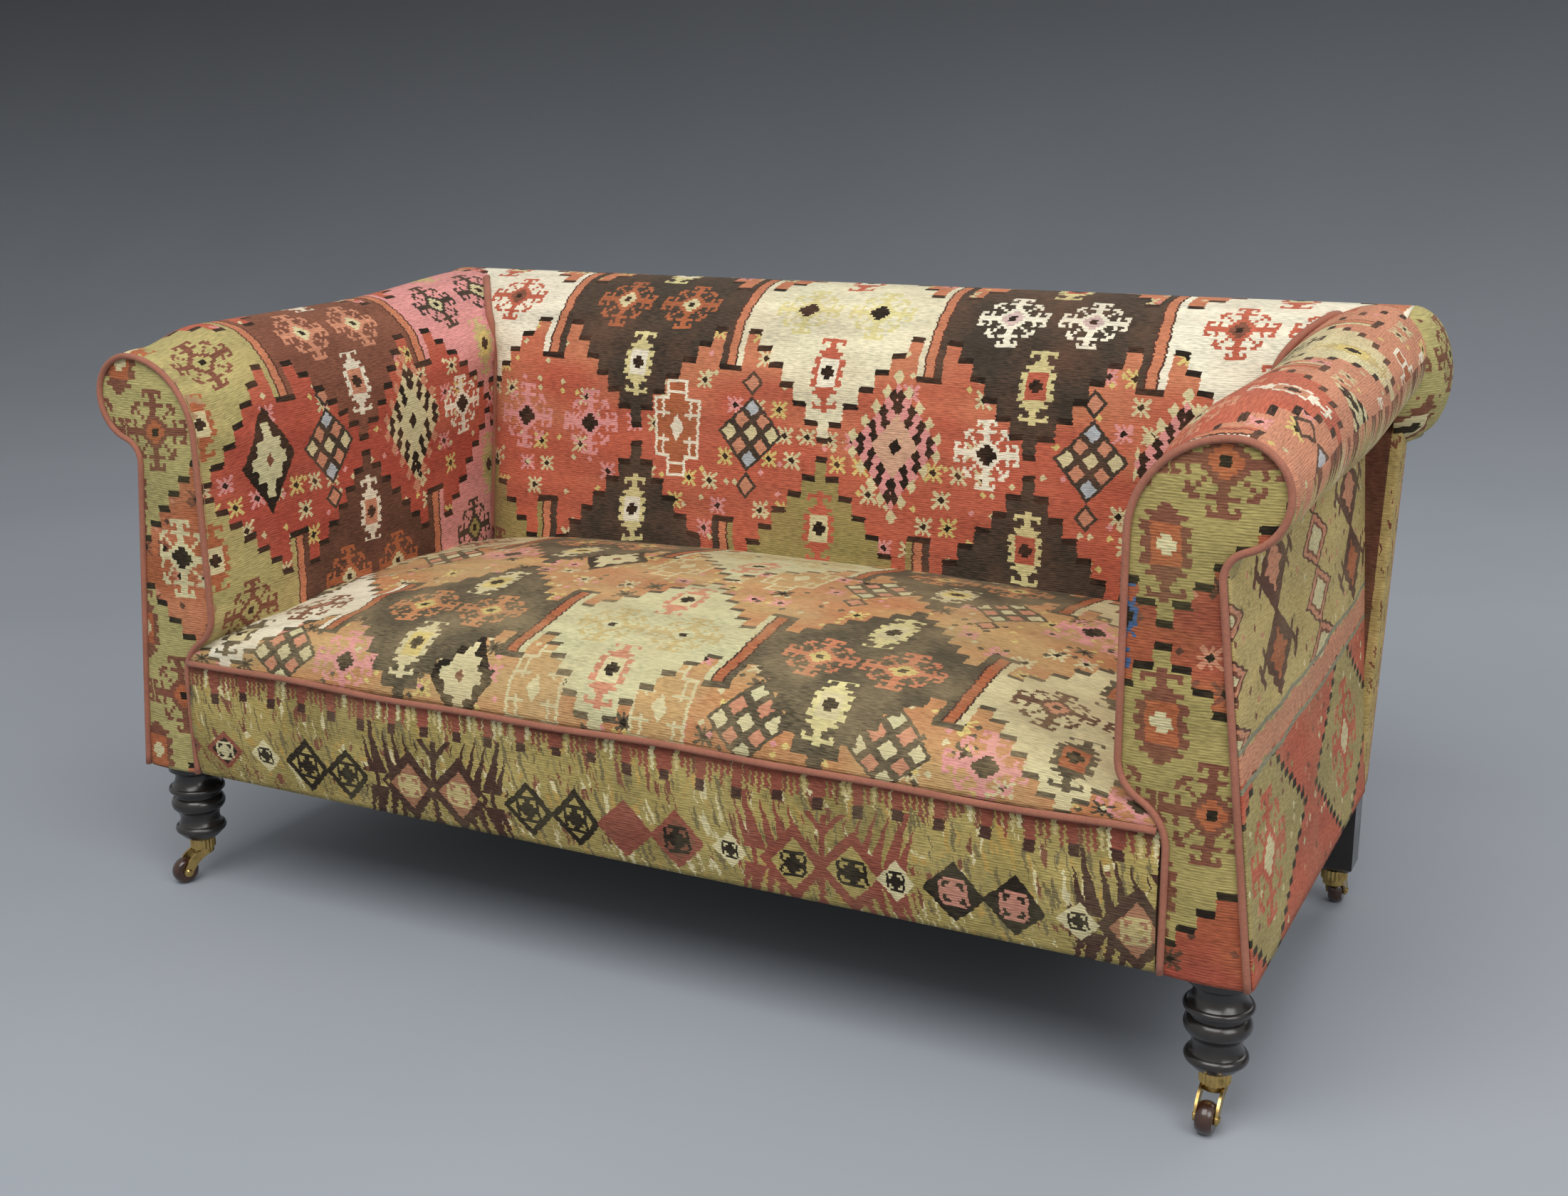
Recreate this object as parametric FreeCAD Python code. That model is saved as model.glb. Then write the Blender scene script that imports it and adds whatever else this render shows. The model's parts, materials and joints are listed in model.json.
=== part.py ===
import FreeCAD, Part
import math
import os

V = FreeCAD.Vector

# Chesterfield sofa: beech frame, sprung seat, scrolled arms and back, turned front legs, four casters.
# Millimetres, +Z up, +X to the sitter's left, the front faces -Y. The origin is on the floor, under the
# middle of the sofa. Depths are measured back from the plane of the arm facings.

# Overall
BACK_REACH = 845.0
FRONT_PROUD = 14.0
FACE_Y = -(BACK_REACH - FRONT_PROUD) / 2
FOOT_Z = 178.0
RAIL_Z = 184.0
COVER = 3.0
SKIN_GAP = 0.1
OVERCUT = 1.0

# Arm facing, seen from the front on the +X side
FOOT_IN = 655.0
FOOT_OUT = 755.0
ARM_IN = 602.0
STEP_Z = 315.0
STEP_TURN = 60.0
LOBE_X = 708.0
LOBE_Z = 683.0
LOBE_R = 60.0
NECK_AIM_Z = 600.0
NECK_R = 25.0
ROLL_UNDER_Z = LOBE_Z - LOBE_R + 10.0
STUMP_THICK = 25.0
STUMP_FRONT = COVER
STUMP_BACK = STUMP_FRONT + STUMP_THICK

# Arm roll behind the facing, swollen by its stuffing
SWELL_RUN = 90.0
SWELL_IN = 6.0
SWELL_LOBE_R = 6.0
SWELL_LOBE_Z = 14.0
ARM_PAD = 56.0
PAD_FOOT_Z = 258.0
LOBE_END = -75.0
ARM_RUN = 730.0

# Back, seen from the side: depth and height of its scroll
BACK_LOBE_D = 757.0
BACK_LOBE_Z = 692.0
BACK_LOBE_R = BACK_REACH - BACK_LOBE_D
BACK_CROWN_R = 155.0
BACK_LEAN = 8.0
BACK_PAD = 60.0
BACK_LOBE_END = -98.0
BACK_HALF = 656.0
ROLL_HALF = 745.0
ROLL_END = 800.0
BACK_FOOT_D = 640.0
BACK_NECK_D = 745.0
BACK_NECK_Z = 603.0
BACK_SLOPE = (BACK_NECK_D - BACK_FOOT_D) / (BACK_NECK_Z - FOOT_Z)
BACK_SIDE_X = 750.0
PANEL_LAP = 8.0
ARM_BUTT_X = 698.0
ARM_BUTT_D = 692.0
ARM_BUTT_Z = 655.0

# Seat
SEAT_HALF = 649.0
SEAT_BASE = 320.0
SEAT_SEAM_Z = 334.0
SEAT_LIP = 2.0
SEAT_NOSE_D = -4.0
SEAT_SHOULDER_D = 60.0
SEAT_CROWN_D = 290.0
SEAT_BACK_D = 600.0
SEAT_BULGE = 14.0
SEAT_SIDE_X = 590.0
SEAT_RISE = {0.0: 100.0, 380.0: 88.0, SEAT_SIDE_X: 60.0, SEAT_HALF: 34.0}
# Share of the seat's rise at its bulge, its shoulder and its tucked back
BULGE_SHARE = 0.42
SHOULDER_SHARE = 0.72
REAR_SHARE = 0.66
BORDER_TOP_D = -3.0
BORDER_FULL_D = -9.0

# Bottom cloth, notched round the legs
CLOTH_HALF = 740.0
CLOTH_FRONT_D = 16.0
CLOTH_BACK_D = 634.0
NOTCH_X = 650.0
NOTCH_FRONT_D = 110.0
NOTCH_BACK_D = 575.0

# Frame timbers
RAIL_THICK = 30.0
FRONT_RAIL_D = 14.0
SIDE_RAIL_IN = 690.0
SIDE_RAIL_OUT = 725.0
RAIL_TOP = 256.0
BLOCK_BACK = 108.0
BLOCK_OUT = 740.0
POST_IN = 697.0
POST_OUT = BACK_SIDE_X - COVER
POST_FRONT_D = 592.0
POST_BACK_D = BACK_FOOT_D - COVER - SKIN_GAP
POST_RAKE = 0.25
POST_TOP = 660.0
POST_CHAMFER = 8.0
TACK_Z = 262.0
TACK_TOP = 302.0
ARM_RAIL_IN = 660.0
ARM_RAIL_OUT = 712.0
ARM_RAIL_TALL = 50.0
ARM_TACK_OUT = 702.0
TOP_RAIL_D = 662.0
TOP_RAIL_THICK = 70.0
TOP_RAIL_Z = BACK_NECK_Z + 4.0
BACK_TACK_D = 614.0
BRACE_LEG = 90.0
STAY_X = 230.0
STAY_WIDE = 40.0
STAY_THICK = 25.0
STAY_FOOT_D = 618.0
STAY_HEAD_D = 703.0

# Suspension
STRAP = 50.0
STRAP_THICK = 2.0
BACK_STRAPS = (-520.0, -350.0, -120.0, 0.0, 120.0, 350.0, 520.0)
ARM_STRAPS = (150.0, 300.0, 450.0)
SPRING_COLUMNS = (-420.0, -140.0, 140.0, 420.0)
SPRING_ROWS = (150.0, 300.0, 450.0)
SPRING_TURNS = 4
SPRING_STEPS = 8
SPRING_END_R = 50.0
SPRING_WAIST_R = 30.0
SPRING_WIRE = 4.0
SPRING_EASE = 0.5
SPRING_CURVE = 1.5
CANVAS_THICK = 2.0
CANVAS_EASE = 1.0

# Piping
PIPE_R = 5.0
PIPE_INSET = PIPE_R + 1.0
WELT_R = 4.0
WELT_START = 12.0
WELT_END = 118.0

# Front leg, radius at each turned feature
LEG_X = 712.0
LEG_D = 42.0
LEG_FOOT_Z = 60.0
LEG_BLOCK_R = 35.0
LEG_NECK_R = 27.0
LEG_RING_R = (37.5, 36.0, 34.0)
LEG_DRUM_R = 26.5
LEG_ANKLE_R = 17.5
LEG_FLARE_IN = 1.5
LEG_BEAD_OUT = 4.0
LEG_GROOVE_OUT = 3.0
LEG_ANKLE_SWELL = 6.0
# Drop of each turned feature below the top of the leg
BLOCK_DROP = 14.0
COVE_DROPS = (20.0, 30.0, 38.0)
UPPER_RING_DROPS = (42.5, 47.0)
MIDDLE_RING_DROPS = (54.0, 64.0, 74.0)
DRUM_DROPS = (84.0, 95.0)
LOWER_RING_DROPS = (101.0, 107.0)
ANKLE_DROP = 114.0
SPIGOT_R = 10.0
SPIGOT_LONG = 50.0
SPIGOT_PLAY = 0.2
SPIGOT_ROOM = 4.0

# Caster
SOCKET_R = 17.0
SOCKET_Z = 46.0
SOCKET_RIBS = 20
RIB_DEEP = 1.2
RUN_GAP = 0.3
PIVOT_R = 4.0
PIVOT_PLAY = 0.05
BOSS_R = 14.0
BOSS_Z = 38.7
RIVET_R = 7.0
RIVET_Z = 36.0
TRAIL = 29.0
WHEEL_R = 18.0
WHEEL_HALF = 9.0
WHEEL_EDGE_R = 14.5
HUB_WALL = 3.0
HUB_PROUD = 0.7
HUB_FLARE = 1.0
CHEEK_IN = 10.0
CHEEK_THICK = 3.0
CHEEK_HALF = 7.0
CHEEK_BACK_BEND = (25.0, 35.5)
CHEEK_FRONT_BEND = (12.0, 29.5)
EYE_R = 6.5
EYE_TURN = 40.0
AXLE_R = 2.5
AXLE_HOLE_PLAY = 0.02
AXLE_HEAD = 1.6
AXLE_HEAD_OUT = 1.8
HEADINGS = {"front_right": -90.0, "front_left": -112.0, "back_right": 90.0, "back_left": 128.0}


def depth(d):
    """Y of a point that lies d behind the arm facings."""
    return FACE_Y + d


def front_plane(d):
    """Points given as (x, z) on the upright plane at depth d."""
    return lambda u, v: V(u, depth(d), v)


def side_plane(x):
    """Points given as (depth, z) on the upright plane at x."""
    return lambda u, v: V(x, depth(u), v)


def line(at, a, b):
    return Part.LineSegment(at(*a), at(*b)).toShape()


def on_circle(centre, radius, degrees):
    turn = math.radians(degrees)
    return (centre[0] + radius * math.cos(turn), centre[1] + radius * math.sin(turn))


def arc(at, centre, radius, start, end):
    spots = [on_circle(centre, radius, start + (end - start) * part) for part in (0, 0.5, 1)]
    return Part.Arc(*[at(*spot) for spot in spots]).toShape()


def polygon(at, points):
    return Part.Face(Part.makePolygon([at(*p) for p in points] + [at(*points[0])]))


def face_of(edges):
    return Part.Face(Part.Wire(Part.__sortEdges__(edges)))


def box(x0, x1, d0, d1, z0, z1):
    return Part.makeBox(x1 - x0, d1 - d0, z1 - z0, V(x0, depth(d0), z0))


def mirrored(shape):
    return shape.mirror(V(0, 0, 0), V(1, 0, 0))


def both_sides(shape):
    return Part.Compound([shape, mirrored(shape)])


def without(shape, *others):
    """The main solid that is left of a shape when the others are cut from it."""
    for other in others:
        shape = shape.cut(other)
    return max(shape.Solids, key=lambda solid: solid.Volume)


def neck():
    """Fillet between the facing's scroll and its sloping outer edge: centre and end angles."""
    foot = (FOOT_OUT, FOOT_Z)
    run = (LOBE_X - FOOT_OUT, NECK_AIM_Z - FOOT_Z)
    long = math.hypot(*run)
    along = (run[0] / long, run[1] / long)
    out = (along[1], -along[0])
    from_lobe = (foot[0] + out[0] * NECK_R - LOBE_X, foot[1] + out[1] * NECK_R - LOBE_Z)
    half = from_lobe[0] * along[0] + from_lobe[1] * along[1]
    rest = from_lobe[0] ** 2 + from_lobe[1] ** 2 - (LOBE_R + NECK_R) ** 2
    step = -half - math.sqrt(half * half - rest)
    centre = (LOBE_X + from_lobe[0] + along[0] * step, LOBE_Z + from_lobe[1] + along[1] * step)
    to_lobe = math.degrees(math.atan2(LOBE_Z - centre[1], LOBE_X - centre[0]))
    to_edge = math.degrees(math.atan2(-out[1], -out[0])) % 360.0
    return centre, to_lobe, to_edge, along, out


def facing_edges(at, inset):
    """The facing's outline from its inner foot, over the scroll, to its outer foot."""
    step_r = (FOOT_IN - ARM_IN) / (2 * (1 - math.cos(math.radians(STEP_TURN))))
    low = (FOOT_IN - step_r, STEP_Z)
    high = on_circle(low, 2 * step_r, STEP_TURN)
    crown_r = LOBE_X - ARM_IN
    crown = (LOBE_X, LOBE_Z + LOBE_R - crown_r)
    lobe = (LOBE_X, LOBE_Z)
    hollow, to_lobe, to_edge, along, out = neck()
    edge_top = on_circle(hollow, NECK_R + inset, to_edge)
    drop = (edge_top[1] - FOOT_Z) / along[1]
    edge_foot = (edge_top[0] - along[0] * drop, FOOT_Z)
    return [
        line(at, (FOOT_IN + inset, FOOT_Z), (FOOT_IN + inset, STEP_Z)),
        arc(at, low, step_r + inset, 0, STEP_TURN),
        arc(at, high, step_r - inset, 180 + STEP_TURN, 180),
        line(at, (ARM_IN + inset, high[1]), (ARM_IN + inset, crown[1])),
        arc(at, crown, crown_r - inset, 180, 90),
        arc(at, lobe, LOBE_R - inset, 90, to_lobe - 180),
        arc(at, hollow, NECK_R + inset, to_lobe, to_edge),
        line(at, edge_top, edge_foot),
    ]


def facing_face(d, inset):
    at = front_plane(d)
    edges = facing_edges(at, inset)
    foot = Part.LineSegment(edges[-1].Vertexes[-1].Point, edges[0].Vertexes[0].Point).toShape()
    return face_of(edges + [foot])


def arm_section(d, swell, inset):
    """Closed section of an arm pad: inside face, crown, scroll, and the line where it meets the frame."""
    at = front_plane(d)
    inner = ARM_IN - swell * SWELL_IN
    lobe = (LOBE_X, LOBE_Z + swell * SWELL_LOBE_Z)
    lobe_r = LOBE_R + swell * SWELL_LOBE_R
    crown_r = LOBE_X - inner
    crown = (LOBE_X, lobe[1] + lobe_r - crown_r)
    end = on_circle(lobe, lobe_r - inset, LOBE_END)
    pad_x = inner + ARM_PAD
    return Part.Wire([
        line(at, (inner + inset, PAD_FOOT_Z), (inner + inset, crown[1])),
        arc(at, crown, crown_r - inset, 180, 90),
        arc(at, lobe, lobe_r - inset, 90, LOBE_END),
        line(at, end, (pad_x, end[1])),
        line(at, (pad_x, end[1]), (pad_x, PAD_FOOT_Z)),
        line(at, (pad_x, PAD_FOOT_Z), (inner + inset, PAD_FOOT_Z)),
    ])


def arm_solid(inset):
    """Right arm from the back of its stump, swelling to its full roll, to the inside of the back."""
    front = arm_section(STUMP_BACK, 0.0, inset)
    full = arm_section(STUMP_BACK + SWELL_RUN, 1.0, inset)
    swelling = Part.makeLoft([front, full], True, True)
    roll = Part.Face(full).extrude(V(0, ARM_RUN - STUMP_BACK - SWELL_RUN, 0))
    return swelling.fuse(roll).removeSplitter()


def back_inner_depth(z, inset=0.0):
    """Depth of the leaning inside face of the back at height z."""
    lean = math.radians(BACK_LEAN)
    crown_z = BACK_LOBE_Z + BACK_LOBE_R - BACK_CROWN_R
    start_d = BACK_LOBE_D - BACK_CROWN_R * math.cos(lean)
    start_z = crown_z + BACK_CROWN_R * math.sin(lean)
    return start_d + (z - start_z) * math.tan(lean) + inset / math.cos(lean)


def back_section(x, inset):
    """Closed section of the back pad: leaning face, crown, scroll, and the frame side."""
    at = side_plane(x)
    lobe = (BACK_LOBE_D, BACK_LOBE_Z)
    crown = (BACK_LOBE_D, BACK_LOBE_Z + BACK_LOBE_R - BACK_CROWN_R)
    start = on_circle(crown, BACK_CROWN_R - inset, 180 - BACK_LEAN)
    end = on_circle(lobe, BACK_LOBE_R - inset, BACK_LOBE_END)
    foot = (back_inner_depth(PAD_FOOT_Z, inset), PAD_FOOT_Z)
    pad_foot = (back_inner_depth(PAD_FOOT_Z, BACK_PAD), PAD_FOOT_Z)
    pad_head = (back_inner_depth(end[1], BACK_PAD), end[1])
    return face_of([
        line(at, foot, start),
        arc(at, crown, BACK_CROWN_R - inset, 180 - BACK_LEAN, 90),
        arc(at, lobe, BACK_LOBE_R - inset, 90, BACK_LOBE_END),
        line(at, end, pad_head),
        line(at, pad_head, pad_foot),
        line(at, pad_foot, foot),
    ])


def back_solid(inset):
    """Back pad: the roll runs the full width, and the pad below it stays between the arms."""
    whole = back_section(-ROLL_HALF, inset).extrude(V(2 * ROLL_HALF, 0, 0))
    below = BACK_LOBE_Z + (BACK_LOBE_R - inset) * math.sin(math.radians(BACK_LOBE_END))
    beside = box(BACK_HALF, ROLL_HALF + OVERCUT, 0, BACK_REACH, 0, below)
    behind_arm = box(ARM_BUTT_X, ROLL_HALF + OVERCUT, 0, ARM_BUTT_D, 0, ARM_BUTT_Z)
    for part in (beside, behind_arm):
        whole = whole.cut(part).cut(mirrored(part))
    return whole


def roll_end():
    """Domed end of the back roll, turned about the middle of its scroll."""
    middle = V(ROLL_HALF, depth(BACK_LOBE_D), BACK_LOBE_Z)
    rim = middle + V(0, 0, BACK_LOBE_R)
    tip = middle + V(ROLL_END - ROLL_HALF, 0, 0)
    dome = Part.ArcOfEllipse(Part.Ellipse(rim, tip, middle), 0, math.pi / 2).toShape()
    to_rim = Part.LineSegment(middle, rim).toShape()
    to_tip = Part.LineSegment(tip, middle).toShape()
    return face_of([to_rim, dome, to_tip]).revolve(middle, V(1, 0, 0), 360)


def seat_section(x, rise, inset):
    """Closed section of the sprung seat at x: nose, domed top, tucked back."""
    at = side_plane(x)
    seam = SEAT_SEAM_Z + SEAT_LIP
    nose = (SEAT_NOSE_D + inset, seam)
    bulge = (SEAT_NOSE_D + inset + SEAT_BULGE, seam + BULGE_SHARE * rise - inset)
    shoulder = (SEAT_SHOULDER_D, seam + SHOULDER_SHARE * rise - inset)
    crown = (SEAT_CROWN_D, seam + rise - inset)
    rear = (SEAT_BACK_D, seam + REAR_SHARE * rise - inset)
    front = FRONT_RAIL_D
    return Part.Wire([
        line(at, (front, SEAT_BASE), (SEAT_BACK_D, SEAT_BASE)),
        line(at, (SEAT_BACK_D, SEAT_BASE), rear),
        Part.Arc(at(*rear), at(*crown), at(*shoulder)).toShape(),
        Part.Arc(at(*shoulder), at(*bulge), at(*nose)).toShape(),
        line(at, nose, (nose[0], SEAT_SEAM_Z)),
        line(at, (nose[0], SEAT_SEAM_Z), (front, SEAT_SEAM_Z)),
        line(at, (front, SEAT_SEAM_Z), (front, SEAT_BASE)),
    ])


def seat_solid(inset):
    places = [-x for x in sorted(SEAT_RISE, reverse=True) if x] + sorted(SEAT_RISE)
    sections = [seat_section(x, SEAT_RISE[abs(x)], inset) for x in places]
    return Part.makeLoft(sections, True, False)


def front_border():
    """Padded border under the seat edge, slightly full in the middle."""
    at = side_plane(-SEAT_HALF)
    top = SEAT_SEAM_Z
    bulge = at(BORDER_FULL_D, (FOOT_Z + top) / 2)
    edges = [
        line(at, (FRONT_RAIL_D, FOOT_Z), (FRONT_RAIL_D, top)),
        line(at, (FRONT_RAIL_D, top), (BORDER_TOP_D, top)),
        Part.Arc(at(BORDER_TOP_D, top), bulge, at(0.0, FOOT_Z)).toShape(),
        line(at, (0.0, FOOT_Z), (FRONT_RAIL_D, FOOT_Z)),
    ]
    return face_of(edges).extrude(V(2 * SEAT_HALF, 0, 0))


def tube(edges, radius):
    """Round cord along a tangent path."""
    path = Part.Wire(edges)
    start = edges[0].valueAt(edges[0].FirstParameter)
    heading = edges[0].tangentAt(edges[0].FirstParameter)
    ring = Part.Wire(Part.makeCircle(radius, start, heading))
    return path.makePipeShell([ring], True, False)


def facing_piping():
    return tube(facing_edges(front_plane(-PIPE_R), PIPE_INSET), PIPE_R)


def seat_piping():
    at = V(-SEAT_HALF, depth(SEAT_NOSE_D - PIPE_R), SEAT_SEAM_Z + SEAT_LIP / 2)
    return Part.makeCylinder(PIPE_R, 2 * SEAT_HALF, at, V(1, 0, 0))


def corner_welt():
    """Welt in the right inside corner, up the back and round its crown."""
    at = side_plane(ARM_IN - SWELL_IN - WELT_R - RUN_GAP)
    clear = -(WELT_R + RUN_GAP)
    crown = (BACK_LOBE_D, BACK_LOBE_Z + BACK_LOBE_R - BACK_CROWN_R)
    start = on_circle(crown, BACK_CROWN_R - clear, 180 - BACK_LEAN)
    foot_z = SEAT_SEAM_Z + SEAT_RISE[SEAT_SIDE_X] + WELT_START
    foot = (back_inner_depth(foot_z, clear), foot_z)
    return tube([
        line(at, foot, start),
        arc(at, crown, BACK_CROWN_R - clear, 180 - BACK_LEAN, WELT_END),
    ], WELT_R)


def outside_arm():
    """Flat cover of the outside of the right arm, up under its roll and back to the post."""
    along, out = neck()[3:]
    rise = ROLL_UNDER_Z - FOOT_Z
    slant = V(along[0], 0, along[1]) * (rise / along[1])
    foot = V(FOOT_OUT, depth(STUMP_FRONT), FOOT_Z)
    reach = POST_FRONT_D + PANEL_LAP - STUMP_FRONT
    corners = [foot, foot + V(0, reach, 0), foot + V(0, reach + POST_RAKE * rise, 0) + slant, foot + slant]
    panel = Part.Face(Part.makePolygon(corners + corners[:1]))
    return panel.extrude(V(out[0], 0, out[1]) * -COVER)


def back_post():
    """Right back post: square leg below, raked upright above, one timber."""
    rake_top = POST_RAKE * (POST_TOP - RAIL_Z)
    side = polygon(side_plane(POST_IN), [
        (POST_FRONT_D, LEG_FOOT_Z), (POST_BACK_D, LEG_FOOT_Z), (POST_BACK_D, FOOT_Z),
        (POST_BACK_D + BACK_SLOPE * (POST_TOP - FOOT_Z), POST_TOP),
        (POST_FRONT_D + rake_top, POST_TOP), (POST_FRONT_D, RAIL_Z),
    ])
    post = side.extrude(V(POST_OUT - POST_IN, 0, 0))
    foot = [e for e in post.Edges if all(abs(v.Z - LEG_FOOT_Z) < 0.01 for v in e.Vertexes)]
    return post.makeChamfer(POST_CHAMFER, foot)


def back_side():
    """Cover of the right post's outer side."""
    top = BACK_NECK_Z
    side = polygon(side_plane(POST_OUT), [
        (POST_FRONT_D, FOOT_Z), (POST_BACK_D, FOOT_Z),
        (POST_BACK_D + BACK_SLOPE * (top - FOOT_Z), top),
        (POST_FRONT_D + POST_RAKE * (top - RAIL_Z), top), (POST_FRONT_D, RAIL_Z),
    ])
    return side.extrude(V(COVER, 0, 0))


def outside_back():
    side = polygon(side_plane(-BACK_SIDE_X), [
        (BACK_FOOT_D - COVER, FOOT_Z), (BACK_FOOT_D, FOOT_Z),
        (BACK_NECK_D, BACK_NECK_Z), (BACK_NECK_D - COVER, BACK_NECK_Z),
    ])
    return side.extrude(V(2 * BACK_SIDE_X, 0, 0))


def bottom_cloth():
    """Cloth under the rails, notched round the four legs."""
    at = lambda x, d: V(x, depth(d), FOOT_Z)
    right = [(NOTCH_X, CLOTH_FRONT_D), (NOTCH_X, NOTCH_FRONT_D), (CLOTH_HALF, NOTCH_FRONT_D),
             (CLOTH_HALF, NOTCH_BACK_D), (NOTCH_X, NOTCH_BACK_D), (NOTCH_X, CLOTH_BACK_D)]
    left = [(-x, d) for x, d in reversed(right)]
    return polygon(at, right + left).extrude(V(0, 0, STRAP_THICK))


def front_leg():
    """Turned leg with its spigot, outlined from the block at the top down to the ankle."""
    ring_a, ring_b, ring_c = LEG_RING_R
    at = lambda r, z: V(LEG_X + r, depth(LEG_D), z)
    top = FOOT_Z

    def curve(a, b, c):
        return Part.Arc(at(*a), at(*b), at(*c)).toShape()

    cove_z = [top - drop for drop in COVE_DROPS]
    upper_z = [top - drop for drop in UPPER_RING_DROPS]
    middle_z = [top - drop for drop in MIDDLE_RING_DROPS]
    drum_z = [top - drop for drop in DRUM_DROPS]
    lower_z = [top - drop for drop in LOWER_RING_DROPS]
    block_low = (LEG_BLOCK_R, top - BLOCK_DROP)
    neck_in = (LEG_NECK_R, cove_z[0])
    flare = (LEG_BLOCK_R - LEG_FLARE_IN, cove_z[2])
    bead_a = (LEG_NECK_R + LEG_BEAD_OUT, upper_z[1])
    groove = (LEG_NECK_R + LEG_GROOVE_OUT, middle_z[0])
    bead_b = (LEG_DRUM_R + LEG_BEAD_OUT, middle_z[2])
    drum_low = (LEG_DRUM_R + LEG_GROOVE_OUT, drum_z[1])
    ring_low = (ring_c - LEG_BEAD_OUT, lower_z[1])
    ankle = (LEG_ANKLE_R, LEG_FOOT_Z)
    edges = [
        line(at, (0.0, top + SPIGOT_LONG), (SPIGOT_R, top + SPIGOT_LONG)),
        line(at, (SPIGOT_R, top + SPIGOT_LONG), (SPIGOT_R, top)),
        line(at, (SPIGOT_R, top), (LEG_BLOCK_R, top)),
        line(at, (LEG_BLOCK_R, top), block_low),
        line(at, block_low, neck_in),
        curve(neck_in, (LEG_NECK_R + LEG_FLARE_IN, cove_z[1]), flare),
        curve(flare, (ring_a, upper_z[0]), bead_a),
        line(at, bead_a, groove),
        curve(groove, (ring_b, middle_z[1]), bead_b),
        curve(bead_b, (LEG_DRUM_R, drum_z[0]), drum_low),
        curve(drum_low, (ring_c, lower_z[0]), ring_low),
        curve(ring_low, (LEG_ANKLE_R + LEG_ANKLE_SWELL, top - ANKLE_DROP), ankle),
        line(at, ankle, (0.0, LEG_FOOT_Z)),
        line(at, (0.0, LEG_FOOT_Z), (0.0, top + SPIGOT_LONG)),
    ]
    return face_of(edges).revolve(at(0.0, 0.0), V(0, 0, 1), 360)


def leg_block():
    """Right front corner block, bored for the leg's spigot."""
    block = box(FOOT_IN, BLOCK_OUT, STUMP_BACK, BLOCK_BACK, FOOT_Z, RAIL_TOP)
    bore_long = SPIGOT_LONG + SPIGOT_ROOM
    bore = Part.makeCylinder(SPIGOT_R + SPIGOT_PLAY, bore_long, V(LEG_X, depth(LEG_D), FOOT_Z))
    return block.cut(bore)


def rear_brace():
    """Right rear corner brace, a triangle let into the angle of the rails."""
    at = lambda x, d: V(x, depth(d), RAIL_Z)
    corner_d = POST_FRONT_D
    return polygon(at, [
        (SIDE_RAIL_IN, corner_d), (SIDE_RAIL_IN - BRACE_LEG, corner_d),
        (SIDE_RAIL_IN, corner_d - BRACE_LEG),
    ]).extrude(V(0, 0, RAIL_TOP - RAIL_Z))


def seat_webbing():
    """Straps under the rails, front to back and then side to side."""
    top = RAIL_Z
    straps = []
    for x in SPRING_COLUMNS:
        straps.append(box(x - STRAP / 2, x + STRAP / 2, FRONT_RAIL_D, POST_FRONT_D + RAIL_THICK,
                          top - STRAP_THICK, top))
    for d in SPRING_ROWS:
        straps.append(box(-SIDE_RAIL_OUT, SIDE_RAIL_OUT, d - STRAP / 2, d + STRAP / 2,
                          top - 2 * STRAP_THICK, top - STRAP_THICK))
    return Part.Compound(straps)


def spring(x, d):
    """Double-cone seat spring: coils wide at both ends and narrow at the waist."""
    base = RAIL_Z + SPRING_WIRE / 2 + SPRING_EASE
    tall = SEAT_BASE - CANVAS_THICK - RAIL_Z - SPRING_WIRE - 2 * SPRING_EASE
    count = SPRING_TURNS * SPRING_STEPS
    points = []
    for i in range(count + 1):
        part = i / count
        radius = SPRING_WAIST_R + (SPRING_END_R - SPRING_WAIST_R) * abs(2 * part - 1) ** SPRING_CURVE
        turn = 360.0 * SPRING_TURNS * part
        spot = on_circle((x, depth(d)), radius, turn)
        points.append(V(spot[0], spot[1], base + tall * part))
    path = Part.makePolygon(points)
    half = SPRING_WIRE / 2
    start = points[0]
    out = V(1, 0, 0) * half
    up = V(0, 0, 1) * half
    corners = [start + out + up, start + out - up, start - out - up, start - out + up]
    ring = Part.makePolygon(corners + corners[:1])
    return path.makePipeShell([ring], True, True, 1)


def back_stay(x):
    """Upright stay between the tacking rail and the top rail of the back."""
    side = polygon(side_plane(x - STAY_WIDE / 2), [
        (STAY_FOOT_D, TACK_TOP), (STAY_FOOT_D + STAY_THICK, TACK_TOP),
        (STAY_HEAD_D + STAY_THICK, TOP_RAIL_Z), (STAY_HEAD_D, TOP_RAIL_Z),
    ])
    return side.extrude(V(STAY_WIDE, 0, 0))


def back_strap(x):
    foot = back_inner_depth(TACK_TOP, BACK_PAD)
    head = back_inner_depth(TOP_RAIL_Z, BACK_PAD)
    side = polygon(side_plane(x - STRAP / 2), [
        (foot, TACK_TOP), (foot + STRAP_THICK, TACK_TOP),
        (head + STRAP_THICK, TOP_RAIL_Z), (head, TOP_RAIL_Z),
    ])
    return side.extrude(V(STRAP, 0, 0))


def arm_strap(d):
    x = ARM_IN + ARM_PAD
    return box(x, x + STRAP_THICK, d - STRAP / 2, d + STRAP / 2, TACK_TOP, ROLL_UNDER_Z)


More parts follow.
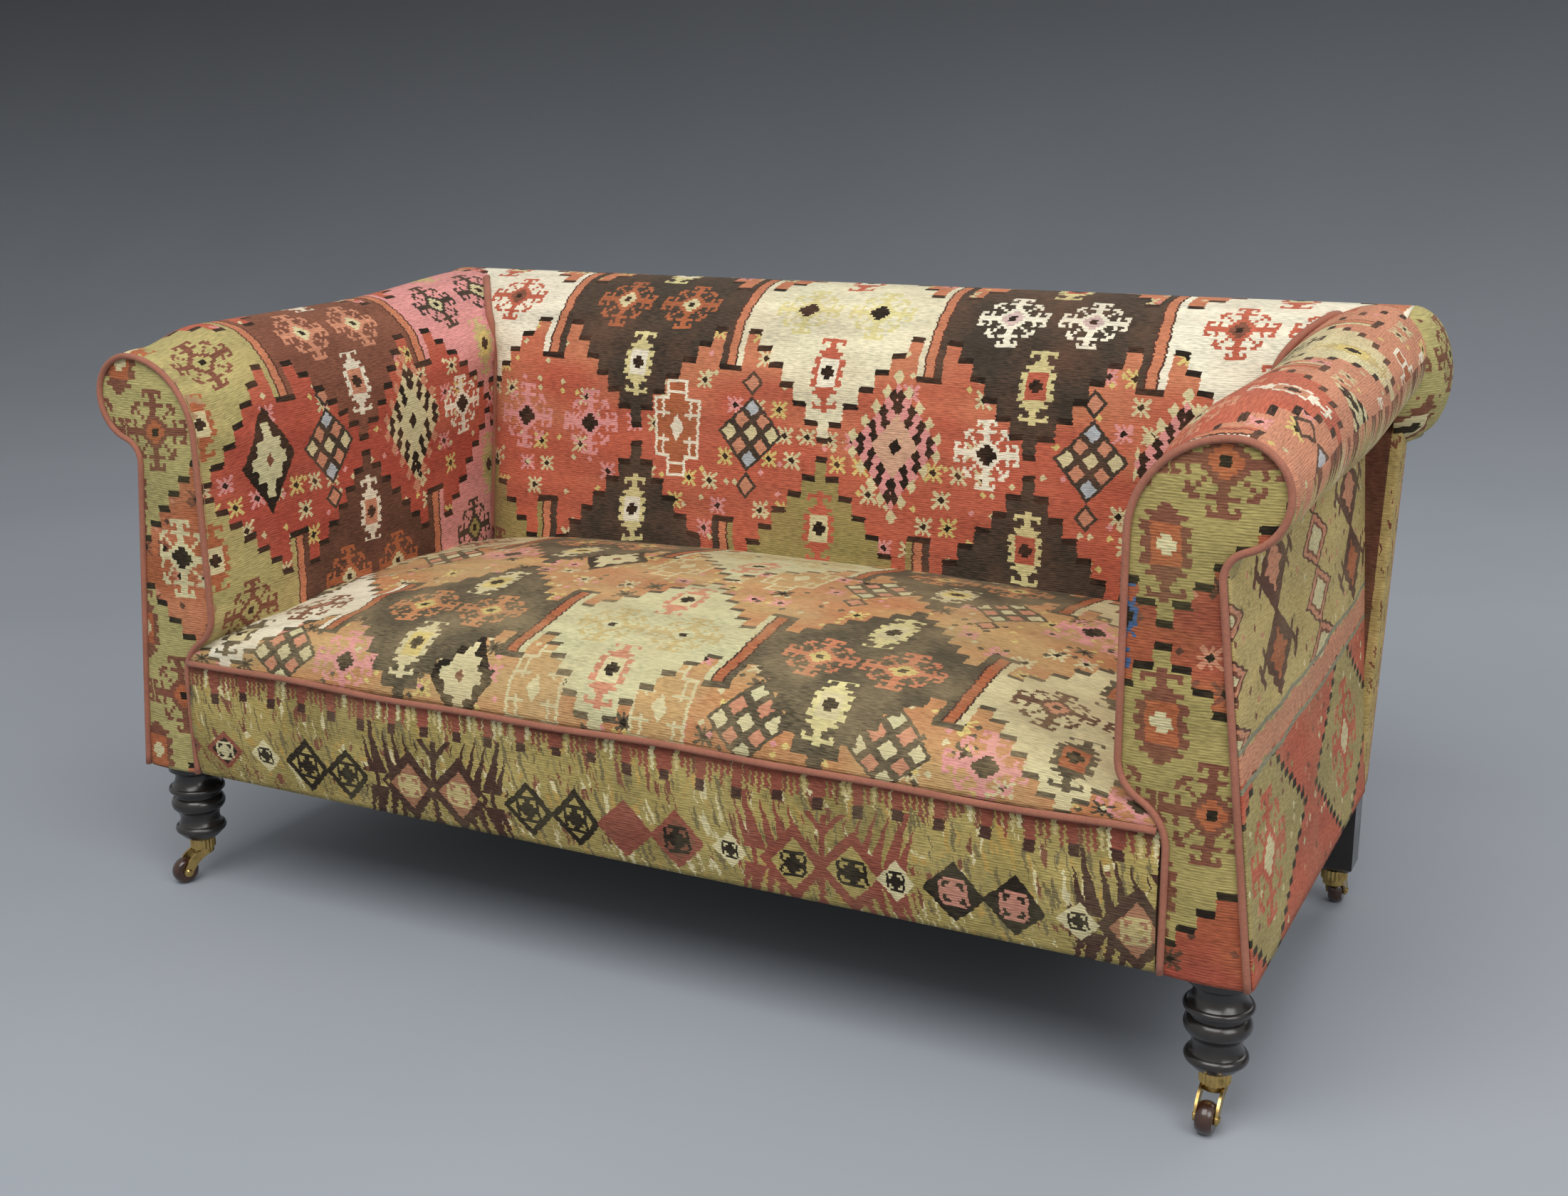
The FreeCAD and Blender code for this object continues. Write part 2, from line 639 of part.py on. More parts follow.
def caster_socket(x, d):
    """Ribbed brass socket with its riveted swivel pin."""
    y = depth(d)
    rim = []
    for i in range(2 * SOCKET_RIBS):
        radius = SOCKET_R - RIB_DEEP * (i % 2)
        spot = on_circle((x, y), radius, 180.0 * i / SOCKET_RIBS)
        rim.append(V(spot[0], spot[1], SOCKET_Z))
    ribbed = Part.Face(Part.makePolygon(rim + rim[:1])).extrude(V(0, 0, LEG_FOOT_Z - SOCKET_Z))
    pin = Part.makeCylinder(PIVOT_R, SOCKET_Z - RIVET_Z, V(x, y, RIVET_Z))
    rivet = Part.makeCylinder(RIVET_R, BOSS_Z - RUN_GAP - RIVET_Z, V(x, y, RIVET_Z))
    return ribbed.fuse([pin, rivet])


def turned(shape, x, d, heading):
    """A caster piece drawn trailing along +X at the origin, set under its leg."""
    shape.rotate(V(0, 0, 0), V(0, 0, 1), heading)
    shape.translate(V(x, depth(d), 0))
    return shape


def horn():
    """Brass horn: swivel boss and two cheeks that sweep down to the axle."""
    boss_top = SOCKET_Z - RUN_GAP
    boss = Part.makeCylinder(BOSS_R, boss_top - BOSS_Z, V(0, 0, BOSS_Z))
    bore = Part.makeCylinder(PIVOT_R + PIVOT_PLAY, SOCKET_Z, V(0, 0, 0))
    at = lambda u, v: V(u, CHEEK_IN, v)
    eye = (TRAIL, WHEEL_R)
    eye_top = on_circle(eye, EYE_R, EYE_TURN)
    eye_low = on_circle(eye, EYE_R, EYE_TURN + 180)
    cheek = face_of([
        line(at, (-CHEEK_HALF, boss_top), (CHEEK_HALF, boss_top)),
        Part.Arc(at(CHEEK_HALF, boss_top), at(*CHEEK_BACK_BEND), at(*eye_top)).toShape(),
        arc(at, eye, EYE_R, EYE_TURN, EYE_TURN - 180),
        Part.Arc(at(*eye_low), at(*CHEEK_FRONT_BEND), at(-CHEEK_HALF, BOSS_Z)).toShape(),
        line(at, (-CHEEK_HALF, BOSS_Z), (-CHEEK_HALF, boss_top)),
    ]).extrude(V(0, CHEEK_THICK, 0))
    reach = CHEEK_IN + CHEEK_THICK + OVERCUT
    hole = Part.makeCylinder(AXLE_R + AXLE_HOLE_PLAY, 2 * reach, V(TRAIL, -reach, WHEEL_R), V(0, 1, 0))
    other = cheek.mirror(V(0, 0, 0), V(0, 1, 0))
    return boss.fuse([cheek, other]).cut(bore).cut(hole).removeSplitter()


def axle():
    """Axle pin with a domed head outside each cheek."""
    out = CHEEK_IN + CHEEK_THICK
    pin = Part.makeCylinder(AXLE_R, 2 * out, V(TRAIL, -out, WHEEL_R), V(0, 1, 0))
    head = Part.makeCone(AXLE_R + AXLE_HEAD_OUT, AXLE_R, AXLE_HEAD, V(TRAIL, out, WHEEL_R), V(0, 1, 0))
    other = head.mirror(V(0, 0, 0), V(0, 1, 0))
    return pin.fuse([head, other])


def wheel():
    """Barrel-shaped wheel, bored to run on its axle."""
    at = lambda r, w: V(TRAIL, w, WHEEL_R + r)
    hub_half = WHEEL_HALF + HUB_PROUD
    bore = AXLE_R + PIVOT_PLAY
    hub = AXLE_R + HUB_WALL
    flare = hub + HUB_FLARE
    edges = [
        line(at, (bore, -hub_half), (hub, -hub_half)),
        line(at, (hub, -hub_half), (flare, -WHEEL_HALF)),
        line(at, (flare, -WHEEL_HALF), (WHEEL_EDGE_R, -WHEEL_HALF)),
        Part.Arc(at(WHEEL_EDGE_R, -WHEEL_HALF), at(WHEEL_R, 0), at(WHEEL_EDGE_R, WHEEL_HALF)).toShape(),
        line(at, (WHEEL_EDGE_R, WHEEL_HALF), (flare, WHEEL_HALF)),
        line(at, (flare, WHEEL_HALF), (hub, hub_half)),
        line(at, (hub, hub_half), (bore, hub_half)),
        line(at, (bore, hub_half), (bore, -hub_half)),
    ]
    return face_of(edges).revolve(V(TRAIL, 0, WHEEL_R), V(0, 1, 0), 360)


def frame_pieces():
    """The timbers, in order of the right side first where there are two."""
    rail_z = (RAIL_Z, RAIL_TOP)
    stump = facing_face(STUMP_FRONT, COVER).extrude(V(0, STUMP_THICK, 0))
    post = back_post()
    arm_rail_top = ROLL_UNDER_Z + ARM_RAIL_TALL
    arm_rail = box(ARM_RAIL_IN, ARM_RAIL_OUT, STUMP_BACK, TOP_RAIL_D, ROLL_UNDER_Z, arm_rail_top)
    tack = box(ARM_IN + ARM_PAD, ARM_TACK_OUT, STUMP_BACK, BACK_TACK_D, TACK_Z, TACK_TOP).cut(post)
    front_d = (FRONT_RAIL_D, FRONT_RAIL_D + RAIL_THICK)
    top_d = (TOP_RAIL_D, TOP_RAIL_D + TOP_RAIL_THICK)
    tack_d = (BACK_TACK_D, BACK_TACK_D + RAIL_THICK)
    return {
        "front_seat_rail": box(-FOOT_IN, FOOT_IN, *front_d, RAIL_Z, SEAT_BASE),
        "back_seat_rail": box(-POST_IN, POST_IN, POST_FRONT_D, POST_FRONT_D + RAIL_THICK, *rail_z),
        "side_seat_rails": both_sides(box(SIDE_RAIL_IN, SIDE_RAIL_OUT, BLOCK_BACK, POST_FRONT_D, *rail_z)),
        "front_leg_blocks": both_sides(leg_block()),
        "rear_corner_braces": both_sides(rear_brace()),
        "right_arm_stump": stump,
        "left_arm_stump": mirrored(stump),
        "right_arm_top_rail": arm_rail,
        "left_arm_top_rail": mirrored(arm_rail),
        "arm_tacking_rails": both_sides(tack),
        "right_back_post": post,
        "left_back_post": mirrored(post),
        "back_top_rail": box(-POST_IN, POST_IN, *top_d, TOP_RAIL_Z, POST_TOP),
        "back_tacking_rail": box(-POST_IN, POST_IN, *tack_d, TACK_Z, TACK_TOP),
        "back_stays": both_sides(back_stay(STAY_X)),
    }


def suspension_pieces():
    straps = [back_strap(x) for x in BACK_STRAPS]
    arm_straps = Part.Compound([arm_strap(d) for d in ARM_STRAPS])
    springs = [spring(x, d) for x in SPRING_COLUMNS for d in SPRING_ROWS]
    canvas_half = ARM_IN - SWELL_IN - CANVAS_EASE
    canvas_front = FRONT_RAIL_D + RAIL_THICK
    canvas_back = back_inner_depth(SEAT_BASE) - CANVAS_EASE
    return {
        "seat_webbing": seat_webbing(),
        "back_webbing": Part.Compound(straps),
        "arm_webbing": both_sides(arm_straps),
        "seat_springs": Part.Compound(springs),
        "spring_canvas": box(-canvas_half, canvas_half, canvas_front, canvas_back,
                             SEAT_BASE - CANVAS_THICK, SEAT_BASE),
    }


def soft_pieces(frame, suspension):
    """Stuffing and covers, each cut clear of what it is built on and tucks behind."""
    back_out = back_solid(0.0)
    back_in = back_solid(COVER)
    arm_out = arm_solid(0.0)
    arm_in = arm_solid(COVER)
    cap = roll_end()
    back_frame = [frame[n] for n in ("back_top_rail", "right_back_post", "left_back_post",
                                     "right_arm_top_rail", "left_arm_top_rail", "back_tacking_rail",
                                     "back_stays")]
    arm_frame = [frame[n] for n in ("front_seat_rail", "right_arm_top_rail", "right_back_post",
                                    "arm_tacking_rails")]
    webs = [suspension["back_webbing"]]
    arm_webs = [suspension["arm_webbing"]]
    beyond = [back_out, cap]
    facing = facing_face(0.0, 0.0).extrude(V(0, COVER, 0))
    arm_front = facing_face(0.0, 0.0).extrude(V(0, STUMP_BACK, 0))
    around = [arm_out, mirrored(arm_out), back_out, arm_front, mirrored(arm_front)]
    arm_stuffing = without(arm_in, *beyond, *arm_frame, *arm_webs)
    side = back_side()
    panel_clear = (frame["right_arm_stump"], frame["right_back_post"], side)
    panel = without(outside_arm(), arm_out, back_out, *panel_clear)
    collar = facing_face(STUMP_FRONT, 0.0).extrude(V(0, STUMP_THICK, 0))
    collar = without(collar, frame["right_arm_stump"], panel)
    arm_cover = without(arm_out.cut(arm_in).fuse(collar), *beyond, *arm_frame, *arm_webs)
    piping = facing_piping()
    return {
        "back_stuffing": without(back_in, *back_frame, *webs),
        "back_cover": without(back_out, back_in, *back_frame, *webs),
        "right_back_scroll_end": without(cap, *back_frame),
        "left_back_scroll_end": mirrored(without(cap, *back_frame)),
        "right_arm_stuffing": arm_stuffing,
        "left_arm_stuffing": mirrored(arm_stuffing),
        "right_arm_cover": arm_cover,
        "left_arm_cover": mirrored(arm_cover),
        "right_facing_cover": facing,
        "left_facing_cover": mirrored(facing),
        "right_facing_piping": piping,
        "left_facing_piping": mirrored(piping),
        "right_outside_arm_cover": panel,
        "left_outside_arm_cover": mirrored(panel),
        "back_side_covers": both_sides(side),
        "outside_back_cover": outside_back(),
        "seat_stuffing": without(seat_solid(COVER), *around),
        "seat_cover": without(seat_solid(0.0), seat_solid(COVER), *around),
        "front_border_cover": front_border(),
        "seat_front_piping": seat_piping(),
        "corner_welts": both_sides(corner_welt()),
        "bottom_cloth": bottom_cloth(),
    }


def foot_pieces():
    leg = front_leg()
    rear_x = (POST_IN + POST_OUT) / 2
    rear_d = (POST_FRONT_D + BACK_FOOT_D - COVER) / 2
    places = {
        "front_right": (LEG_X, LEG_D), "front_left": (-LEG_X, LEG_D),
        "back_right": (rear_x, rear_d), "back_left": (-rear_x, rear_d),
    }
    pieces = {"right_front_leg": leg, "left_front_leg": mirrored(leg)}
    for name, (x, d) in places.items():
        heading = HEADINGS[name]
        pieces[name + "_caster_socket"] = caster_socket(x, d)
        pieces[name + "_caster_horn"] = turned(horn(), x, d, heading)
        pieces[name + "_caster_axle"] = turned(axle(), x, d, heading)
        pieces[name + "_caster_wheel"] = turned(wheel(), x, d, heading)
    return pieces


def main():
    os.makedirs("parts", exist_ok=True)
    frame = frame_pieces()
    suspension = suspension_pieces()
    pieces = {**frame, **suspension, **soft_pieces(frame, suspension), **foot_pieces()}
    whole = FreeCAD.BoundBox()
    for name, shape in pieces.items():
        shape.exportStep("parts/%s.step" % name)
        whole.add(shape.BoundBox)
        print("%-28s solids %2d volume %10.0f valid %s" % (
            name, len(shape.Solids), shape.Volume, shape.isValid()))
    print(len(pieces), "nodes, box", whole)


main()
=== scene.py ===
# %% [markdown]
# # A chesterfield in kilim, dressed over its frame
#
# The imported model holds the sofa's timbers, springs, legs and casters, and plain solids where the soft
# parts go. This lesson loads that frame, then sews the soft parts over it one by one. Everything is in
# metres, with the floor at z = 0 and the front of the sofa towards -Y.

# %% Load the frame
import json
import math

import bpy
import numpy as np
from mathutils import Matrix, Vector


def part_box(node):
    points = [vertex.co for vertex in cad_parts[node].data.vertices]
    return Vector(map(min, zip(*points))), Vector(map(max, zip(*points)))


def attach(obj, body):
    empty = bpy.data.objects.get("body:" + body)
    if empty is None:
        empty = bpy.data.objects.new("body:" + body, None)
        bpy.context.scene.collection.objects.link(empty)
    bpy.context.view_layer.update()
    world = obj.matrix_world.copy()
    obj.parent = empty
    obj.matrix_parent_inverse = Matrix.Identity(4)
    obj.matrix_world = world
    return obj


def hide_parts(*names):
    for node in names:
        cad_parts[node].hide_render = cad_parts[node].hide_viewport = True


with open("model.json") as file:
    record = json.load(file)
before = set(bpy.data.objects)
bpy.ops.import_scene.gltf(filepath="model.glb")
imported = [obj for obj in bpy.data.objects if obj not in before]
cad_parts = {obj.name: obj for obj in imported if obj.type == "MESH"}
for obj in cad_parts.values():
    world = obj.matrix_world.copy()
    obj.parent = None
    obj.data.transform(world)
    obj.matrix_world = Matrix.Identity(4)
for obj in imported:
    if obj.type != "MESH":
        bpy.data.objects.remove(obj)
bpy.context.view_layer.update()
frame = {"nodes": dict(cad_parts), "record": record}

FACE_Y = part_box("right_facing_cover")[0].y
print("frame:", len(frame["nodes"]), "nodes; the facings stand at y =", round(FACE_Y, 4))

# %% [markdown]
# ## The camera
#
# The picture was taken from in front of the right arm, at about twice the seat's height, with a normal
# lens. A camera could be aimed with a Track To constraint, but a tilt of under a degree remains in the
# picture, so the three axes of the camera are worked out from yaw, pitch and roll instead.

# %% Camera
PICTURE_WIDE = 2202
FOCAL_PIXELS = 2563.5
SENSOR = 36.0
EYE_AT = (1.1056, -2.0967, 1.060)
YAW, PITCH, ROLL = math.radians(27.5), math.radians(15.7), math.radians(-0.75)

eye = bpy.data.cameras.new("picture_camera")
eye.sensor_width = SENSOR
eye.lens = FOCAL_PIXELS / PICTURE_WIDE * SENSOR
camera = bpy.data.objects.new("picture_camera", eye)
bpy.context.scene.collection.objects.link(camera)
ahead = Vector((-math.sin(YAW) * math.cos(PITCH), math.cos(YAW) * math.cos(PITCH), -math.sin(PITCH)))
level = Vector((math.cos(YAW), math.sin(YAW), 0.0))
above = level.cross(ahead)
side = math.cos(ROLL) * level + math.sin(ROLL) * above
top = -math.sin(ROLL) * level + math.cos(ROLL) * above
turn = Matrix((side, top, -ahead)).transposed().to_4x4()
camera.matrix_world = Matrix.Translation(EYE_AT) @ turn
bpy.context.scene.camera = camera
print("camera lens", round(eye.lens, 2), "mm")

# %% [markdown]
# ## Shader maths as plain sums
#
# A woven pattern is arithmetic: which step of the diamond is this thread in, is it inside or outside?
# Dozens of Math nodes could be wired by hand, but the sums would be lost in the wiring. So one small
# class wraps a socket and answers to Python's operators, and an expression adds its own nodes. A mask
# is a number that is 0 or 1, so "and" is a product, "or" is the larger one and "not" is 1 - mask.

# %% Sockets that answer to operators
def answer(operation, reflected=False):
    """A method that adds one Math node, with the socket itself first or last."""
    def method(self, *others):
        values = (*others, self) if reflected else (self, *others)
        return self.node("ShaderNodeMath", {"operation": operation}, enumerate(values))
    return method


def both_ways(operation):
    """An operator, and the same one for a plain number on its left."""
    return answer(operation), answer(operation, reflected=True)


class Yarn:
    """A node socket. Sums on it add Math nodes; any other node comes from node()."""

    __add__, __radd__ = both_ways("ADD")
    __sub__, __rsub__ = both_ways("SUBTRACT")
    __mul__, __rmul__ = both_ways("MULTIPLY")
    __truediv__, __rtruediv__ = both_ways("DIVIDE")
    __mod__, __rmod__ = both_ways("FLOORED_MODULO")
    __pow__, __rpow__ = both_ways("POWER")
    __and__, __rand__ = both_ways("MULTIPLY")
    __or__, __ror__ = both_ways("MAXIMUM")
    __gt__, __lt__, __abs__ = answer("GREATER_THAN"), answer("LESS_THAN"), answer("ABSOLUTE")
    floor, least, wave = answer("FLOOR"), answer("MINIMUM"), answer("SINE")

    def __init__(self, tree, socket=None):
        self.tree, self.socket = tree, socket

    def __invert__(self):
        return 1 - self

    def near(self, value, reach=0.5):
        return abs(self - value) < reach

    def within(self):
        """Kept between 0 and 1."""
        return self.least(1.0) | 0.0

    def node(self, kind, settings=(), sockets=(), out=0):
        """Adds a node, sets it up, joins or fills its sockets, and gives one of its outputs."""
        made = self.tree.nodes.new(kind)
        for key, value in dict(settings).items():
            if key == "stops":
                ramp = made.color_ramp.elements
                for position, _ in value[2:]:
                    ramp.new(position)
                for stop, (position, colour) in zip(ramp, value):
                    stop.position, stop.color = position, colour
            elif key == "interpolation":
                made.color_ramp.interpolation = value
            else:
                setattr(made, key, value)
        for key, value in dict(sockets).items():
            if isinstance(value, Yarn):
                self.tree.links.new(value.socket, made.inputs[key])
            else:
                made.inputs[key].default_value = value
        return Yarn(self.tree, made.outputs[out])

    def also(self, out):
        """Another output of the same node."""
        return Yarn(self.tree, self.socket.node.outputs[out])


print("sockets answer to sums")

# %% [markdown]
# ## Words for a finish
#
# Every finish starts from a shader and a place on the piece. Some noise is made at that place, one
# colour is dyed over another by it, and the result is fed to the shader. Colours always go through Mix
# nodes, because a Math node would turn them grey. What is the same all over is set on the shader.

# %% Words for a finish
def dye(under, over, where):
    """Colour over, laid on colour under where the mask is 1."""
    return where.node("ShaderNodeMix", {"data_type": "RGBA"}, {0: where, 6: under, 7: over}, out=2)


def noise(spot, scale, detail, out=0):
    return spot.node("ShaderNodeTexNoise", {}, {"Vector": spot, "Scale": scale, "Detail": detail}, out)


def new_finish(name, constants):
    """A material, its shader with the constants set on its own sockets, and a yarn to start from."""
    made = bpy.data.materials.new(name)
    made.use_nodes = True
    shader = made.node_tree.nodes["Principled BSDF"]
    for socket, value in constants.items():
        shader.inputs[socket].default_value = value
    return made, shader, Yarn(made.node_tree)


def on_piece(yarn):
    """Place on the piece, in metres."""
    return yarn.node("ShaderNodeTexCoord", out=3)


def feed(shader, sockets):
    for socket, yarn in sockets.items():
        yarn.tree.links.new(yarn.socket, shader.inputs[socket])


print("a finish starts from its shader")

# %% [markdown]
# ## The studio
#
# The sofa stands on a plain grey paper sweep: a floor that curves up into a wall, so no edge shows
# behind it. Two planes would meet in a corner, so one strip of quads follows the bend. The paper is
# painted darker with height, a painted shade for the light that falls off away from the lamps.

# %% Floor and wall
# Paper greys, and the dark grey that is painted high on the wall as painted shade
PAPER, PAPER_PALE, PAPER_PAINTED_SHADE = (0.31, 0.335, 0.375, 1), (0.36, 0.385, 0.425, 1), (0.031, 0.032, 0.032, 1)
PAPER_HALF, PAPER_FRONT = 15.0, -12.0
BEND_R, WALL_Y, WALL_TOP = 1.6, 4.6, 5.0
# Height at which the painted shade on the wall is darkest
SHADE_DARKEST_Z = 2.6


def grey_paper():
    made, shader, yarn = new_finish("grey_paper", {"Roughness": 0.9, "Specular IOR Level": 0.2})
    mottle = noise(on_piece(yarn), 1.3, 3.0)
    height = yarn.node("ShaderNodeSeparateXYZ", {}, {0: yarn.node("ShaderNodeNewGeometry")}).also(2)
    # Painted shade: the paper is painted darker with height, for light falling off away from the lamps
    painted_wall_shade = (height / SHADE_DARKEST_Z).least(1.0) ** 0.5
    feed(shader, {"Base Color": dye(dye(PAPER, PAPER_PALE, mottle), PAPER_PAINTED_SHADE, painted_wall_shade)})
    return made


sweep = [(PAPER_FRONT, 0.0), (WALL_Y - BEND_R, 0.0)]
sweep += [(WALL_Y - BEND_R + BEND_R * math.sin(t), BEND_R - BEND_R * math.cos(t))
          for t in np.linspace(0, math.pi / 2, 25)[1:]]
sweep += [(WALL_Y, WALL_TOP)]
paper = bpy.data.meshes.new("studio_paper")
paper.from_pydata([(x, y, z) for y, z in sweep for x in (-PAPER_HALF, PAPER_HALF)], [],
                  [(2 * i, 2 * i + 1, 2 * i + 3, 2 * i + 2) for i in range(len(sweep) - 1)])
paper.polygons.foreach_set("use_smooth", [True] * len(paper.polygons))
floor = bpy.data.objects.new("studio_paper", paper)
bpy.context.scene.collection.objects.link(floor)
paper.materials.append(grey_paper())
print("studio: a sweep of", len(sweep), "bends")

# %% [markdown]
# ## Lamps and air
#
# One large soft lamp hangs in front and above, weaker ones stand at the right and behind, and the
# world fills the shadows. Small lamps would draw a hard shadow in every seam, so all three are wide
# rectangles. Their watts are chosen so that a colour renders about as it is written.

# %% Lamps and air
def lamp(name, spot, aim, size, watts):
    light = bpy.data.lights.new(name, "AREA")
    light.shape, light.size, light.size_y, light.energy = "RECTANGLE", size[0], size[1], watts
    stand = bpy.data.objects.new(name, light)
    stand.location = spot
    stand.rotation_euler = (Vector(aim) - Vector(spot)).to_track_quat("-Z", "Y").to_euler()
    bpy.context.scene.collection.objects.link(stand)
    print(name, watts, "W")


lamp("key_lamp", (0.2, -2.3, 3.6), (0.0, 0.0, 0.4), (3.0, 2.6), 98)
lamp("fill_lamp", (3.0, -1.8, 2.5), (0.0, 0.0, 0.4), (2.0, 2.0), 46)
lamp("back_lamp", (1.6, 2.9, 3.0), (0.0, 0.2, 0.4), (2.6, 2.0), 34)
world = bpy.data.worlds.new("studio_air")
bpy.context.scene.world = world
world.use_nodes = True
world.node_tree.nodes["Background"].inputs["Color"].default_value = (0.98, 0.98, 0.97, 1)
world.node_tree.nodes["Background"].inputs["Strength"].default_value = 0.48
bpy.context.scene.view_settings.view_transform = "Standard"

# %% [markdown]
# ## Dyes
#
# The wool was dyed in a handful of colours and has faded unevenly. The colours are written once here,
# in linear light, and each cover picks its own few.

# %% Dyes
BRICK = (0.46, 0.108, 0.062, 1)
DEEP_RED = (0.38, 0.068, 0.044, 1)
ORANGE = (0.51, 0.185, 0.095, 1)
RUST = (0.38, 0.115, 0.048, 1)
SALMON = (0.54, 0.235, 0.140, 1)
PINK = (0.66, 0.28, 0.26, 1)
BROWN = (0.19, 0.070, 0.042, 1)
UMBER = (0.105, 0.046, 0.030, 1)
DARK_BROWN = (0.060, 0.026, 0.019, 1)
CHARCOAL = (0.050, 0.038, 0.027, 1)
BLACK = (0.017, 0.011, 0.007, 1)
WHITE = (0.76, 0.71, 0.55, 1)
CREAM = (0.60, 0.53, 0.30, 1)
PALE_YELLOW = (0.64, 0.57, 0.27, 1)
SAGE = (0.55, 0.52, 0.30, 1)
TAN = (0.50, 0.400, 0.180, 1)
KHAKI = (0.405, 0.350, 0.140, 1)
OLIVE = (0.29, 0.235, 0.085, 1)
YELLOW = (0.62, 0.49, 0.17, 1)
BLUE = (0.055, 0.115, 0.24, 1)
SEAT_RED = (0.48, 0.205, 0.088, 1)
SEAT_TAN = (0.49, 0.305, 0.130, 1)
SEAT_DARK = (0.092, 0.073, 0.044, 1)
print("dyes written, from", WHITE[:3], "to", BLACK[:3])

# %% [markdown]
# ## Words for the pattern
#
# Most of the pattern is said with a few more words: choose one of two numbers, look a colour up in a
# list, and draw a lot for each row or spot. A list of colours could be a chain of Mix nodes, but a ramp
# that doesn't blend holds them all in one.

# %% Words for the pattern
def choose(first, second, where):
    """One of two numbers by a mask."""
    return first + where * (second - first)


def from_list(number, colours):
    """The colour that has this number in a list, by a ramp that doesn't blend."""
    stops = [(i / len(colours), colour) for i, colour in enumerate(colours)]
    return number.node("ShaderNodeValToRGB", {"interpolation": "CONSTANT", "stops": stops},
                       {0: (number + 0.5) / len(colours)})


def pair(u, v):
    return u.node("ShaderNodeCombineXYZ", {}, {0: u, 1: v})


def lot(number):
    """A random number for each whole number."""
    return number.node("ShaderNodeTexWhiteNoise", {"noise_dimensions": "1D"}, {"W": number})


def lot_of_spot(u, v):
    """A random number for each pair of whole numbers."""
    return u.node("ShaderNodeTexWhiteNoise", {"noise_dimensions": "2D"}, {"Vector": pair(u, v)})


print("words for the pattern ready")

# %% [markdown]
# ## The stepped lattice of a kilim
#
# A kilim has no diagonal threads, so its diamonds climb in steps, and each step ends in a dark cap
# that covers the slit between two colours. The cloth is folded by symmetry: every thread only needs
# to know how far it is from the middle of its diamond, across and along. One diamond then fills the
# whole cover, and the number of its column picks its colours.

# %% Lattice and motifs
STEM = 0.0090
CAP_TALL = 0.0085
STRIPE_HALF = 0.0078
LINE_HALF = 0.0014
LEDGES, HOOK_ROOM = 6, 0.003
# Shares of a diamond's height, and the hook in steps
TIP, STEP_UP, HOOK_STEPS = 0.1035, 0.060, 2.8


def star(x, y, cell):
    """Hooked star with eight arms, counted out in threads: petals, heart and eye."""
    p, q = abs(x), abs(y)
    m = ((p | q) / cell).floor()
    n = (p.least(q) / cell).floor()
    both = m + n
    ring = both.near(3.5, 1)
    arm = (n < 1) & (m > 3) & (m < 9)
    barb = (m.near(6) | m.near(9)) & (n < 3)
    crook = m.near(8) & n.near(2)
    slant = (m - n < 1) & (m < 6) & (m > 2)
    fork = m.near(6) & (n > 3) & (n < 6)
    return ring | arm | barb | crook | slant | fork, both < 3, both < 1


def bud(x, y, cell):
    """Tall hexagon with notched sides and a small tree at each end: petals, heart and eye."""
    p, q = abs(x), abs(y)
    m, n = (p / cell).floor(), (q / cell).floor()
    body = (m < 5) & (n < 7) & (m + n < 9)
    notch = (m.near(4) & (n % 3).near(1)) | (n.near(6) & m.near(2)) | (n.near(4) & m.near(3))
    tree = (n > 6) & (n < 11) & ((m < 1) | (n.near(9) & (m < 4)) | (n.near(8) & m.near(3)))
    return (body & ~notch) | tree, (m < 3) & (n < 4) & ~notch, m + n < 2


def diamonds(u, v, plan):
    """Folds the cloth into one stepped diamond: its masks and the thread's place in it."""
    wide, tall = plan["wide"], plan["tall"]
    tip = TIP * tall
    step_wide = (wide / 2 - 2 * STRIPE_HALF - STEM - HOOK_ROOM) / LEDGES
    step_tall = STEP_UP * tall
    hook_from = STEM + LEDGES * step_wide
    hook_rise = HOOK_STEPS * step_tall
    across = (u - plan["first"]) / wide
    column = (across + 0.5).floor()
    a = abs((across - column) * wide)
    along = (v - plan["middle"]) / tall
    row = (along + 0.5).floor()
    b = abs((along - row) * tall)
    rise = (tall / 2 - tip) - b
    edge = ((a - STEM) / step_wide).floor() * step_tall
    edge = choose(edge, hook_rise, a > hook_from)
    edge = choose(edge, -step_tall, a < STEM)
    inside = rise > edge
    capped = (rise > edge - CAP_TALL) & ~inside
    striped = rise > hook_rise
    stripe = (a > wide / 2 - STRIPE_HALF) & striped
    line = a.near(wide / 2 - STRIPE_HALF, LINE_HALF) & striped
    return {"column": column, "row": row, "a": a, "b": b, "across": across, "along": along,
            "inside": inside, "cap": capped, "stripe": stripe, "line": line}


print("lattice drawn with", LEDGES, "ledges to a side")

# %% [markdown]
# ## What fills the fields
#
# Between the diamonds lies a plain red field with two larger motifs in it: a toothed lozenge, a star,
# a fretted cross, a cluster of small lozenges or a lozenge that holds a star. They are all drawn around
# the same point, and the number of the field picks one. Sprigs and specks of spare wool are scattered
# over the rest.

# %% Field motifs
LOZENGE, STAR, FRET, CLUSTER, STAR_LOZENGE, NOTHING = range(6)


def toothed_lozenge(p, q):
    """Lozenge with three rows of teeth: itself, the row's number, dark teeth, the middle and the eye."""
    s = p / 0.078 + q / 0.108
    t = p / 0.078 - q / 0.108
    ring = ((s - 0.43) / 0.19).floor()
    dark = (t * 5.2 + ring * 0.5).floor() % 2
    return s < 1, ring, dark, s < 0.43, s < 0.12


